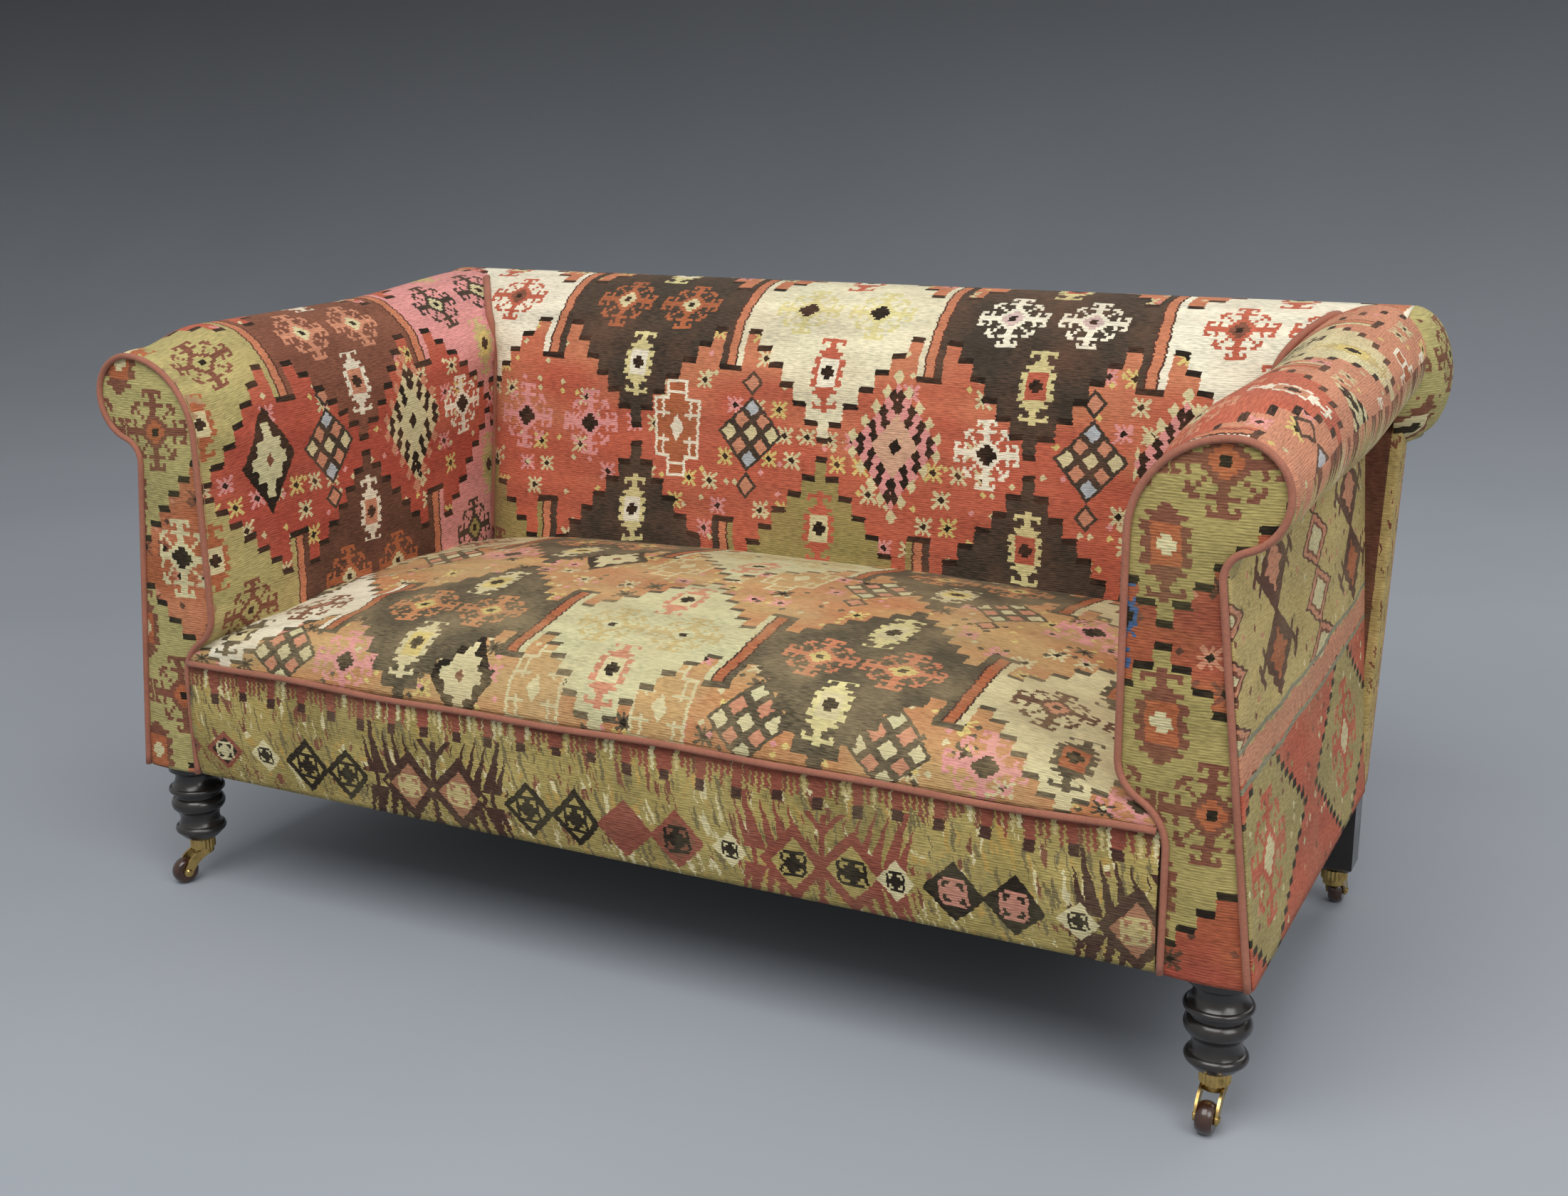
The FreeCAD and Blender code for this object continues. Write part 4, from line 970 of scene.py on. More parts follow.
def arm_ring(swell, inset, lift):
    """Section of the right arm from its tuck, over the roll, to its neck."""
    lobe_r = LOBE_R + SWELL * swell
    lobe = (LOBE_X, LOBE_Z + ROLL_LIFT * swell + lift)
    crown_r = LOBE_X - ARM_IN + SWELL * swell
    crown = (LOBE_X, lobe[1] + lobe_r - crown_r)
    z = np.linspace(ARM_TUCK_Z, crown[1], INNER_ROWS)
    face = np.stack([facing_inner(z) * (1 - swell) + (ARM_IN - SWELL) * swell + inset, z], -1)
    over = arc(crown, crown_r - inset, 180, 90, CROWN_ROWS + 1)[1:]
    scroll = arc(lobe, lobe_r - inset, 90, SCROLL_END, LOBE_ROWS + 1)[1:]
    hollow = arc(NECK, NECK_R + inset, NECK_FROM, NECK_TO, NECK_ROWS + 1)[1:]
    curl = arc(lobe, lobe_r - inset, SCROLL_END, SCROLL_END - 22, NECK_ROWS + 1)[1:]
    return np.concatenate([face, over, scroll, hollow * (1 - swell) + curl * swell])


print("an arm ring has", len(arm_ring(1.0, 0.0, 0.0)), "threads")

# %% [markdown]
# ## From rings to arms
#
# The rings are threaded from the piping to the corner seam, where the cover is drawn in. Small gathers
# run over the front of the roll. What is made for the right hand is mirrored for the left, so the two
# arms have one shape and dyes of their own.

# %% Arms
HANDS = (("right", 1.0), ("left", -1.0))
SWELL_FROM, SWELL_RUN = 0.028, 0.090
ARM_LONG, ARM_RISE, RISE_FROM, RISE_RUN = 0.66, 0.019, 0.36, 0.30
TUCK_IN, ROLL_TUCK, ROLL_REACH, DRAWN_IN = 0.016, 0.062, 0.716, 0.012
ROUNDING, ROUND_RUN = 0.004, 0.006
GATHER_STEP, GATHER_FROM, GATHER_RUN, GATHER_HIGH = 0.027, 0.026, 0.022, 0.0009

full_girth = girth(arm_ring(1.0, 0.0, 0.0)) - (SEAT_Z - ARM_TUCK_Z)
arm_steps = np.concatenate([[0.0, 0.0025, 0.006], np.linspace(0.012, 1.0, 84)])


def arm_grid():
    """Rings of the right arm from the piping to the corner seam, and the depth of each thread."""
    rest = arm_ring(1.0, 0.0, 0.0)
    reach = corner_seam(rest[:, 1]) + TUCK_IN + ROLL_TUCK * ease((rest[:, 1] - 0.66) / 0.09)
    reach = np.where(rest[:, 0] > LOBE_X, np.maximum(reach, ROLL_REACH), reach)
    rings = []
    for w in arm_steps:
        d = ARM_LONG * w
        swell = float(ease((d - SWELL_FROM) / SWELL_RUN))
        lift = ARM_RISE * float(ease((d - RISE_FROM) / RISE_RUN))
        ring = arm_ring(swell, ROUNDING * (1 - min(1.0, d / ROUND_RUN)) ** 2, lift)
        rings.append(np.stack([ring[:, 0], reach * w, ring[:, 1]], -1))
    points = np.stack(rings, 1)
    d, z = points[..., 1].copy(), points[..., 2]
    into_corner = ease((d - (reach[:, None] - 0.085)) / 0.075) * ease((0.72 - z) / 0.08)
    inside_arm = (np.arange(len(rest)) < INNER_ROWS + CROWN_ROWS // 2)[:, None]
    points[..., 0] += DRAWN_IN * into_corner * inside_arm
    gather = np.sin(full_girth * 2 * math.pi / GATHER_STEP)[:, None]
    gather = gather * np.exp(-((d - GATHER_FROM) / GATHER_RUN) ** 2)
    points[..., 2] += GATHER_HIGH * gather * ease((z - 0.62) / 0.06)
    points[..., 1] = deep(d)
    return points, d


arm_points, arm_depth = arm_grid()
arm_cloth = flat(arm_depth, full_girth[:, None])
print("arm:", *arm_depth.shape, "threads")

# %% [markdown]
# ## The plans of the arms
#
# Both arms repeat one order of stars and buds on their own grounds: red fields at the left, paler
# orange ones at the right. Over the crown the pattern ends in a fringe, and plain wool goes round the
# roll.

# %% Arm kilims
arm_plan = {
    **COMMON, "wide": 0.297, "tall": 0.36, "first": 0.305, "middle": 0.337, "column": -1, "thread": 0.0045,
    "pairs": (BROWN, SALMON, CHARCOAL, BRICK, BROWN, RUST, CHARCOAL, BRICK),
    "pair_hearts": (KHAKI, CREAM, CREAM, CREAM, KHAKI, CREAM, OLIVE, CREAM),
    "buds": (RUST, WHITE, TAN, BRICK, RUST, WHITE, TAN, BRICK),
    "bud_hearts": (CREAM, SALMON, YELLOW, CREAM, CREAM, SALMON, KHAKI, CREAM),
    "fields": ((-0.045, STAR_LOZENGE, 0.074, CLUSTER), (-0.040, LOZENGE, 0.078, STAR),
               (-0.05, FRET, 0.05, STAR), (-0.05, FRET, 0.05, STAR)),
    "field": DEEP_RED, "field_too": BRICK, "sun": 1.3, "middle_dye": SAGE, "rose": CREAM, "tooth": SALMON,
    "fringe": 0.56}
arm_dyes = {
    "left": {**arm_plan, "grounds": (KHAKI, BROWN, PINK, KHAKI, KHAKI, UMBER, PINK, KHAKI)},
    "right": {**arm_plan, "first": 0.16, "field": ORANGE, "field_too": SALMON, "fade": 0.3, "fringe": 0.50,
              "grounds": (WHITE, BRICK, CREAM, SALMON, WHITE, BRICK, CREAM, SALMON)}}
for hand, mirror in HANDS:
    arm = lay(hand + "_arm_pad", arm_points * (mirror, 1, 1), arm_cloth, mirror > 0)
    plump(arm, *arm_depth.shape, pressure=2.5, cap=0.004)
    thicken(arm)
    arm_kilim = kilim(hand + "_arm_kilim", arm_dyes[hand])
    sew(arm, arm_kilim, "kilim", hand + "_arm_cover", hand + "_arm_stuffing")

# %% [markdown]
# ## The arm facings
#
# A facing is a thinly padded board in the shape of the scroll: a narrow foot, a step where the seat
# runs out, and the round head. Its two edges are both known at every height, so rows of threads are
# stretched from the inner edge to the outer one and swelled a few millimetres in the middle.

# %% Facings
FACING_TOP = LOBE_Z + LOBE_R
FACING_INSET, FACING_SWELL = 0.003, 0.0065
ROUND_FROM_Z = 0.70
WAIST_X, WAIST_Z, NECK_TOP_Z = 0.7081, 0.5989, 0.6256
OUTER_LEAN = (FOOT_OUT - WAIST_X) / (WAIST_Z - FOOT_Z)


def facing_edges(z, inset):
    """Inner and outer edge of the right facing at a height."""
    crown_r = LOBE_X - ARM_IN
    crown_z = FACING_TOP - crown_r
    round_in = LOBE_X - np.sqrt(np.maximum((crown_r - inset) ** 2 - np.maximum(z - crown_z, 0) ** 2, 0))
    inner = np.where(z > crown_z, round_in, facing_inner(z) + inset)
    outer = FOOT_OUT - OUTER_LEAN * (z - FOOT_Z) - inset
    hollow = NECK[0] - np.sqrt(np.maximum((NECK_R + inset) ** 2 - np.maximum(z - NECK[1], 0) ** 2, 0))
    lobe = LOBE_X + np.sqrt(np.maximum((LOBE_R - inset) ** 2 - (z - LOBE_Z) ** 2, 0))
    outer = np.where(z > WAIST_Z, hollow, outer)
    return inner, np.where(z > NECK_TOP_Z, lobe, outer)


head = FACING_TOP - FACING_INSET - 0.0004 - ROUND_FROM_Z
high_z = ROUND_FROM_Z + head * np.sin(np.linspace(0, math.pi / 2, 17))[1:]
facing_z = np.concatenate([np.linspace(FOOT_Z, ROUND_FROM_Z, 106), high_z])[:, None]
inner, outer = facing_edges(facing_z, FACING_INSET)
share = np.linspace(0, 1, 33)
facing_x = inner + (outer - inner) * share
swell = (4 * share * (1 - share)) ** 0.6 * ease((FACING_TOP - facing_z) / 0.05)
facing_points = grid(facing_x, 0.0005 - FACING_SWELL * swell, facing_z)
print("facing of", facing_points.shape[0], "rows")

# %% [markdown]
# ## The plan of the facings
#
# A facing is only wide enough for part of a diamond and the field beside it. Its plan is short, then:
# khaki diamonds on deep red at the right, on orange at the left, with one star in the field.

# %% Facing kilim
facing_plan = {
    **COMMON, "wide": 0.296, "tall": 0.355, "column": -1, "thread": 0.0053, "rare": 0.93, "fade": 0.12,
    "field": (0.31, 0.062, 0.040, 1), "field_too": RUST, "fade_dye": KHAKI, "grounds": (KHAKI, KHAKI),
    "pairs": (UMBER, BROWN), "pair_hearts": (SALMON, RUST), "buds": (RUST, BROWN),
    "bud_hearts": (BROWN, RUST), "bud_eye": CREAM, "specks": (BROWN, UMBER, SALMON, BROWN),
    "fields": ((0.10, STAR, 0.14, NOTHING), (0.0, NOTHING, 0.1, NOTHING))}
facing_dyes = {
    "right": {**facing_plan, "first": 0.648, "middle": 0.716, "field_stars": (BLUE, BLUE),
              "grounds": ((0.345, 0.280, 0.100, 1),) * 2},
    "left": {**facing_plan, "first": 0.726, "middle": 0.644, "field": ORANGE, "lift": 0.010,
             "field_stars": (CREAM, CREAM),
             "fields": ((0.066, STAR, 0.14, NOTHING), (0.0, NOTHING, 0.1, NOTHING))}}
for hand, mirror in HANDS:
    pad = lay(hand + "_facing_pad", facing_points * (mirror, 1, 1), flat(facing_x, facing_z), mirror < 0)
    thicken(pad)
    sew(pad, kilim(hand + "_facing_kilim", facing_dyes[hand]), "kilim", hand + "_facing_cover")

# %% [markdown]
# ## The front border
#
# Below the seat edge runs a border cut from another part of the kilim: khaki wool with a fringe of
# woven fingers under the piping, a row of hooked lozenges, and pairs of lozenges with ragged legs. Its
# lozenges are counted from the left, and their number decides what each one is.

# %% Border motifs
BORDER_TAN, BORDER_OLIVE = (0.385, 0.300, 0.100, 1), (0.28, 0.215, 0.068, 1)
OCHRE, SHADOW = (0.42, 0.27, 0.075, 1), (0.17, 0.135, 0.060, 1)
MADDER = (0.25, 0.070, 0.046, 1)
PAIR_SPOTS = (-0.255, 0.279, 0.672)
THIN_FINGER, THICK_FINGER, HEM = 0.0078, 0.049, 0.009


def hooked_cross(p, q, cell):
    """Cross with a bar across each end, counted out in threads."""
    m, n = ((p | q) / cell).floor(), (p.least(q) / cell).floor()
    return ((n < 1) & (m < 4)) | (m.near(3) & (n < 3)) | ((m - n < 1) & (m < 2))


def ground_with_grass(u, v):
    """Tan wool with slanting stray wefts in ochre, olive and brown."""
    blades = noise(pair((u + v * 0.30) * 150, v * 22), 1.0, 3.0)
    patch = noise(pair(u * 7, v * 5), 1.0, 2.0)
    colour = dye(BORDER_TAN, BORDER_OLIVE, ((patch - 0.40) * 4).within())
    stray = from_list((patch * 30).floor() % 4, (OCHRE, OLIVE, BROWN, CREAM))
    return dye(dye(colour, stray, blades < 0.43), SHADOW, blades > 0.60)


def paired_beast(u, q):
    """Two lozenges joined by a spine, with fingers up and down: its coat, its bodies and their crosses."""
    away = [abs(u - spot) for spot in PAIR_SPOTS]
    s = away[0].least(away[1]).least(away[2])
    aside = abs(s - 0.036)
    loz = aside / 0.036 + q / 0.042
    top = 0.076 - abs(s - 0.064) * 0.35
    beside = abs((s - q * 0.30) / 0.0165 % 1 - 0.5) * 0.0165
    fingers = (beside < (top - q) * 0.105 + 0.0006) & (q < top) & (s > 0.024) & (s < 0.110) & (q > 0.010)
    flank = (abs(s - 0.086 - q * 0.16) < 0.0032) & (q < 0.080)
    spine = (s < 0.0036) & (q < 0.064)
    branch = (abs(s - abs(q - 0.042) * 0.85) < 0.0042) & q.near(0.054, 0.013)
    return fingers | flank | spine | branch | (loz < 1.22), loz < 0.80, hooked_cross(aside, q, 0.0042)


def hanging_teeth(u, hang):
    """Fingers of weft under the piping: where, and in which colour."""
    thin, thick = u / THIN_FINGER, u / THICK_FINGER
    chance, luck = lot(thin.floor()), lot(thick.floor())
    narrow = (hang < 0.019 + chance * 0.016) & (abs(thin % 1 - 0.5) < 0.44 - hang * 8)
    broad = (hang < 0.036 + luck * 0.010) & (abs(thick % 1 - 0.5) * THICK_FINGER < 0.0064)
    colour = from_list((chance * 37).floor() % 5, (MADDER, CREAM, BROWN, TAN, MADDER))
    colour = dye(colour, dye(MADDER, DARK_BROWN, hang > 0.025 + luck * 0.006), broad)
    return narrow | broad | (hang < HEM), dye(colour, BROWN, (hang < HEM) & ~narrow & ~broad)


print("border motifs drawn, with", len(PAIR_SPOTS), "pairs")

# %% [markdown]
# ## A row that is written down
#
# The lozenges of the border don't repeat, so they are written as a row of words. A list of dyes for
# each word could be chosen with a chain of masks, but one lookup by number does it in a single node.
# The lookup only holds colours, so the size of each lozenge goes in as a grey.

# %% Border kilim
BORDER_FIRST, BORDER_STEP, BORDER_ROW_Z = -0.600, 0.069, 0.224
LOZENGE_HALF, MOST_SHRINK, TEETH_Z = 0.037, 10, 0.334
# Rim, body and cross of each kind of lozenge, and how small it is
LOZENGE_DYES = {
    "ring": (MADDER, BLACK, CREAM, 1.25), "pinwheel": (CREAM, CREAM, BLACK, 1.55),
    "black": (BLACK, BORDER_TAN, BLACK, 1.0), "red": (MADDER, MADDER, MADDER, 1.0),
    "crossed": (MADDER, BROWN, BLACK, 1.0), "quartered": (BLACK, BLACK, (0.46, 0.20, 0.145, 1), 1.0),
    "none": (BORDER_TAN, BORDER_TAN, BORDER_TAN, 9.0)}
LOZENGE_ROW = ("ring", "pinwheel", "black", "black", "none", "none", "none", "black", "black", "red",
               "crossed", "pinwheel", "none", "none", "pinwheel", "quartered", "quartered", "pinwheel",
               "none")


def border_kilim(name):
    made, shader, yarn = new_finish(name, WOOL)
    u, v, x, y = threads(yarn)
    across = (u - BORDER_FIRST) / BORDER_STEP
    count = (across + 0.5).floor()
    p, q = abs((across - count) * BORDER_STEP), abs(v - BORDER_ROW_Z)
    row = [LOZENGE_DYES[kind] for kind in LOZENGE_ROW]
    rim, body, cross = [from_list(count, [dyes[i] for dyes in row]) for i in range(3)]
    shrink = from_list(count, [(dyes[3] / MOST_SHRINK,) * 3 + (1,) for dyes in row]) * MOST_SHRINK
    reach = (p / LOZENGE_HALF + q / LOZENGE_HALF) * shrink
    colour = ground_with_grass(u, v)
    # The pairs: dark, red and dark again
    coat, inside, mark = paired_beast(u, q)
    red_one = u.near(PAIR_SPOTS[1], 0.16)
    colour = dye(colour, dye(DARK_BROWN, MADDER, red_one), coat)
    colour = dye(colour, dye((0.34, 0.155, 0.085, 1), BORDER_TAN, red_one), inside)
    colour = dye(colour, dye(TAN, BLACK, red_one), inside & mark)
    # The single lozenges between them
    colour = dye(dye(colour, rim, reach < 1), body, reach < 0.71)
    colour = dye(colour, cross, hooked_cross(p * shrink, q * shrink, 0.0043) & (reach < 0.80))
    teeth, tooth_dye = hanging_teeth(u, TEETH_Z - v)
    wool(shader, dye(colour, tooth_dye, teeth), x, y, 0.10, CREAM)
    print(name, "is woven with", len(made.node_tree.nodes), "nodes")
    return made


border_cloth = border_kilim("border_kilim")

# %% [markdown]
# ## The border's padding
#
# The border is a thin pad between the two feet of the facings. It bulges a little between the rail and
# the piping, and its depth wavers along the front as hand-laid stuffing does.

# %% Front border
BORDER_HALF, BORDER_ROWS, BORDER_COLUMNS = 0.6545, 27, 151
BORDER_SWELL, BORDER_WAVER = 0.008, 0.001


def hump(count):
    """Half a wave: 0 at both ends and 1 in the middle."""
    return np.sin(np.linspace(0, math.pi, count))


border_x = np.linspace(-BORDER_HALF, BORDER_HALF, BORDER_COLUMNS)
border_z = np.linspace(FOOT_Z, SEAM_Z, BORDER_ROWS)[:, None]
bulge = hump(BORDER_ROWS)[:, None] ** 0.8
border_d = -0.001 - BORDER_SWELL * bulge - BORDER_WAVER * np.cos(border_x * 19) * bulge
border = lay("border_pad", grid(border_x, border_d, border_z), flat(border_x, border_z))
plump(border, BORDER_ROWS, BORDER_COLUMNS, pressure=1.5, cap=0.003)
thicken(border)
sew(border, border_cloth, "kilim", "front_border_cover")

# %% [markdown]
# ## A paler part of the kilim
#
# The outside arms are cut from a paler part of the cloth, with large toothed leaves on crossed stalks
# above a slanting red band and wide stepped diamonds below it. Leaves and diamonds are folded by
# symmetry just like the lattice, and the band decides which of the two a thread belongs to.

# %% Leaf kilim
PLANT_FIRST, PLANT_STEP, PLANT_Z = 0.175, 0.400, 0.530
WOVEN_BAND_Z, BAND_SLANT = 0.408, 0.012
DIAMOND_FIRST, DIAMOND_STEP, DIAMOND_Z, DIAMOND_HALF = 0.480, 0.390, 0.290, 0.125
LEAF_CREAM, LEAF_PALE = (0.46, 0.350, 0.135, 1), (0.50, 0.385, 0.155, 1)
LEAF_SAGE, BAND_EDGE = (0.35, 0.280, 0.110, 1), (0.24, 0.23, 0.15, 1)


def plant(p, q):
    """Two toothed leaves, one up and one down, on crossed stalks with hooks: leaf measure and stalks."""
    saw = abs(q / 0.013 % 1 - 0.5) * 0.022
    leaf = (p + saw) / 0.066 + abs(q - 0.046) / 0.050
    along, aside = p * 0.80 + q * 0.60, abs(p * 0.60 - q * 0.80)
    stalks = (p < 0.0040) & (q < 0.092) | (aside < 0.0042) & (along < 0.100)
    hooks = (along.near(0.094, 0.005) | along.near(0.070, 0.004)) & (aside < 0.017)
    return leaf, stalks | hooks


def leaf_kilim(name):
    made, shader, yarn = new_finish(name, WOOL)
    u, v, x, y = threads(yarn)
    slope = v - WOVEN_BAND_Z - u * BAND_SLANT
    band = abs(slope) < 0.013 + ((u / 0.020).floor() % 2) * 0.004
    below = slope < 0
    above = ~below
    # Plants above the band, and a column of toothed lozenges between them
    across = (u - PLANT_FIRST) / PLANT_STEP
    p = abs((across - (across + 0.5).floor()) * PLANT_STEP)
    leaf, stalks = plant(p, abs(v - PLANT_Z))
    swing = abs(v / 0.062 % 1 - 0.5) * 2
    chain = PLANT_STEP / 2 - p + abs(v / 0.0098 % 1 - 0.5) * 0.012 - swing * 0.066
    # Stepped diamonds below the band
    sx = ((u - DIAMOND_FIRST) / DIAMOND_STEP + 0.5) % 1 * DIAMOND_STEP - DIAMOND_STEP / 2
    far = abs(v - DIAMOND_Z)
    rise = DIAMOND_HALF - (abs(sx) / 0.016).floor() * 0.0125
    petals, heart, _ = star(sx, v - DIAMOND_Z, 0.0072)
    # The dyes, from the ground up
    shape, chance = specks(u, v, 0.0150)
    speck = from_list((chance * 40).floor() % 4, (OLIVE, BROWN, CREAM, SALMON))
    colour = dye(LEAF_CREAM, LEAF_PALE, chance)
    colour = dye(colour, dye(BRICK, LEAF_SAGE, far < rise), below)
    colour = dye(colour, speck, shape & (chance > 0.80))
    for edge, link in ((0.009, UMBER), (0.001, SALMON), (-0.014, BROWN), (-0.024, CREAM)):
        colour = dye(colour, link, (chain < edge) & above)
    colour = dye(colour, UMBER, ((leaf < 1) | stalks) & above)
    colour = dye(colour, dye(RUST, SALMON, v > PLANT_Z), (leaf < 0.62) & above)
    colour = dye(colour, BLACK, far.near(rise, 0.004) & below)
    colour = dye(dye(colour, BRICK, petals & below), CREAM, heart & below)
    colour = dye(dye(colour, SALMON, band), BAND_EDGE, abs(slope).near(0.019, 0.003))
    wool(shader, colour, x, y, 0.15, CREAM)
    print(name, "is woven with", len(made.node_tree.nodes), "nodes")
    return made


leaf_cloth = leaf_kilim("leaf_kilim")

# %% [markdown]
# ## The outside arms
#
# An outside arm is a flat cloth, tacked under the roll, along the rail and down the leaning back post.
# With nothing but the frame behind it, it stays nearly flat, so its grid only needs a slight swell. Its
# flat size is the rectangle that it was cut from, and its area is what was left after the cut.

# %% Outside arms
PANEL_TOP, PANEL_FRONT, PANEL_REAR = 0.633, 0.002, 0.600
PANEL_ROWS, PANEL_COLUMNS, PANEL_GIVE = 48, 64, 0.0035
POST_LEAN, POST_BEND_Z = 0.25, 0.184

panel_z = np.linspace(FOOT_Z, PANEL_TOP, PANEL_ROWS)[:, None]
panel_rear = PANEL_REAR + POST_LEAN * np.maximum(panel_z - POST_BEND_Z, 0)
panel_d = PANEL_FRONT + (panel_rear - PANEL_FRONT) * np.linspace(0, 1, PANEL_COLUMNS)
panel_swell = hump(PANEL_COLUMNS) * hump(PANEL_ROWS)[:, None]
panel_x = FOOT_OUT - OUTER_LEAN * (panel_z - FOOT_Z) + PANEL_GIVE * panel_swell
panel_points = grid(panel_x, panel_d, panel_z)
for hand, mirror in HANDS:
    panel = lay(hand + "_outside_panel", panel_points * (mirror, 1, 1), flat(panel_d, panel_z), mirror < 0)
    thicken(panel)
    sew(panel, leaf_cloth, "kilim", hand + "_outside_arm_cover")

# %% [markdown]
# ## The outside back
#
# Behind, one plain width of kilim closes the frame from the seat rail to under the roll. It follows the
# lean of the posts and is pulled tight, so it is a flat grid with four millimetres of give.

# %% Outside back
WALL_FOOT_D, WALL_TOP_D, WALL_TOP_Z, WALL_TUCK_Z = 0.640, 0.745, 0.603, 0.606
WALL_LEAN = (WALL_TOP_D - WALL_FOOT_D) / (WALL_TOP_Z - FOOT_Z)
WALL_ROWS, WALL_COLUMNS, WALL_GIVE = 40, 81, 0.004
POST_OUT = 0.7505

wall_x = np.linspace(-POST_OUT, POST_OUT, WALL_COLUMNS)
wall_z = np.linspace(FOOT_Z, WALL_TUCK_Z, WALL_ROWS)[:, None]
wall_swell = hump(WALL_COLUMNS) * hump(WALL_ROWS)[:, None]
wall_d = WALL_FOOT_D + WALL_LEAN * (wall_z - FOOT_Z) + WALL_GIVE * wall_swell
outside_back = lay("outside_back_panel", grid(wall_x, wall_d, wall_z), flat(wall_x, wall_z), flip=True)
thicken(outside_back)
wall_kilim = kilim("outside_back_kilim", {
    **COMMON, "wide": 0.300, "tall": 0.40, "first": 0.0, "middle": 0.40, "column": -3,
    "grounds": (KHAKI, OLIVE, TAN, CHARCOAL, TAN, OLIVE, KHAKI,
                OLIVE, KHAKI, CHARCOAL, TAN, CHARCOAL, KHAKI, OLIVE),
    "pairs": (BROWN, CREAM), "pair_hearts": (SALMON, RUST), "buds": (BRICK, CREAM),
    "bud_hearts": (CREAM, RUST), "field": BRICK, "field_too": ORANGE,
    "fields": ((-0.05, STAR, 0.05, FRET), (-0.055, CLUSTER, 0.055, FRET))})
sew(outside_back, wall_kilim, "kilim", "outside_back_cover")

# %% [markdown]
# ## The ends of the back roll
#
# The roll ends in a soft dome, gathered into pleats that fan out from the neck below it. A dome from a
# sphere would have a pole in its middle, so a square of threads is mapped to a disc instead, and the
# pleats are pressed into it as a wave of the angle seen from the neck.

# %% Roll ends
DOME_FROM, DOME_TIP = ROLL_HALF - 0.004, 0.797
GATHER_D, GATHER_Z = ROLL_D - 0.006, ROLL_Z - 0.078
PLEATS, PLEAT_DEEP = 4.5, 0.006

square = np.linspace(-1, 1, 45)
a, b = np.meshgrid(square, square)
disc_d, disc_z = a * np.sqrt(1 - b * b / 2), b * np.sqrt(1 - a * a / 2)
out = np.clip(np.hypot(disc_d, disc_z), 1e-6, 1.0)
spread = np.sin(out * math.pi / 2) / out
end_d, end_z = ROLL_D + ROLL_R * disc_d * spread, ROLL_Z + ROLL_R * disc_z * spread
dome = DOME_FROM + (DOME_TIP - DOME_FROM) * np.cos(out * math.pi / 2)
fan = np.arctan2(end_d - GATHER_D, end_z - GATHER_Z)
far = np.hypot(end_d - GATHER_D, end_z - GATHER_Z)
fold = np.abs(np.sin(fan * PLEATS + 0.4)) ** 0.6 * ease(far / 0.02) * ease((0.17 - far) / 0.09)
pleat = PLEAT_DEEP * (1 - fold) * ease((0.155 - far) / 0.12) * ease(far / 0.01)
end_points = grid(dome - pleat, end_d, end_z)
end_kilim = kilim("roll_end_kilim", {
    **COMMON, "wide": 0.30, "tall": 0.36, "first": 0.80, "middle": 0.72, "column": -1,
    "grounds": (KHAKI, KHAKI), "pairs": (OLIVE, BROWN), "pair_hearts": (TAN, KHAKI), "buds": (BRICK, BROWN),
    "bud_hearts": (WHITE, CREAM), "field": ORANGE, "field_too": BRICK, "fade_dye": KHAKI,
    "fields": ((0.0, NOTHING, 0.1, NOTHING), (0.0, NOTHING, 0.1, NOTHING))})
for hand, mirror in HANDS:
    end = lay(hand + "_roll_end", end_points * (mirror, 1, 1), flat(end_d + 0.10, end_z), mirror < 0)
    thicken(end)
    sew(end, end_kilim, "kilim", hand + "_back_scroll_end")

# %% [markdown]
# ## Tan weave
#
# The back posts are wrapped in a strip of plain tan weave, which shows as a narrow edge beside the
# outside arm. It has no motifs, so one noise, stretched along the strip, gives its flecks. Dark brown
# is painted on the front face of the post as painted shade for the gap between outside arm and back.

# %% Tan weave
# Where the painted shade on the front face of the post ends, in flat cloth positions
PAINTED_SHADE_EDGE = 1.3265


def plain_tan(name):
    """Plain tan weave, with dark brown painted shade on the front face of the post."""
    made, shader, yarn = new_finish(name, WOOL)
    u, v, x, y = threads(yarn)
    fleck = noise(pair(u * 120, v * 40), 1.0, 2.0)
    colour = dye((0.36, 0.25, 0.085, 1), (0.52, 0.40, 0.17, 1), fleck)
    colour = dye(colour, BROWN, fleck > 0.62)
    # Painted shade: dark brown on the post's front face, in the shaded gap between outside arm and back
    painted_recess_shade = x - (y - FOOT_Z) * POST_LEAN < PAINTED_SHADE_EDGE
    wool(shader, dye(colour, dye(DARK_BROWN, BROWN, fleck), painted_recess_shade), x, y, 0.1, KHAKI)
    print(name, "is woven with", len(made.node_tree.nodes), "nodes")
    return made


tan_weave = plain_tan("tan_weave")

# %% [markdown]
# ## Strips round the posts
#
# A strip starts on the front of the post, turns its corner and ends at the outside back, so each row of
# threads goes from the inside outwards first and then from front to back. Both strips are one piece,
# and the left one mirrors the right one.

# %% Posts wrapped in tan weave
POST_IN, POST_FRONT_D, POST_REAR_D, STRIP_TOP = 0.690, 0.590, 0.6365, 0.640
STRIP_ROWS, STRIP_SIDE, STRIP_GIVE = 40, 12, 0.0015

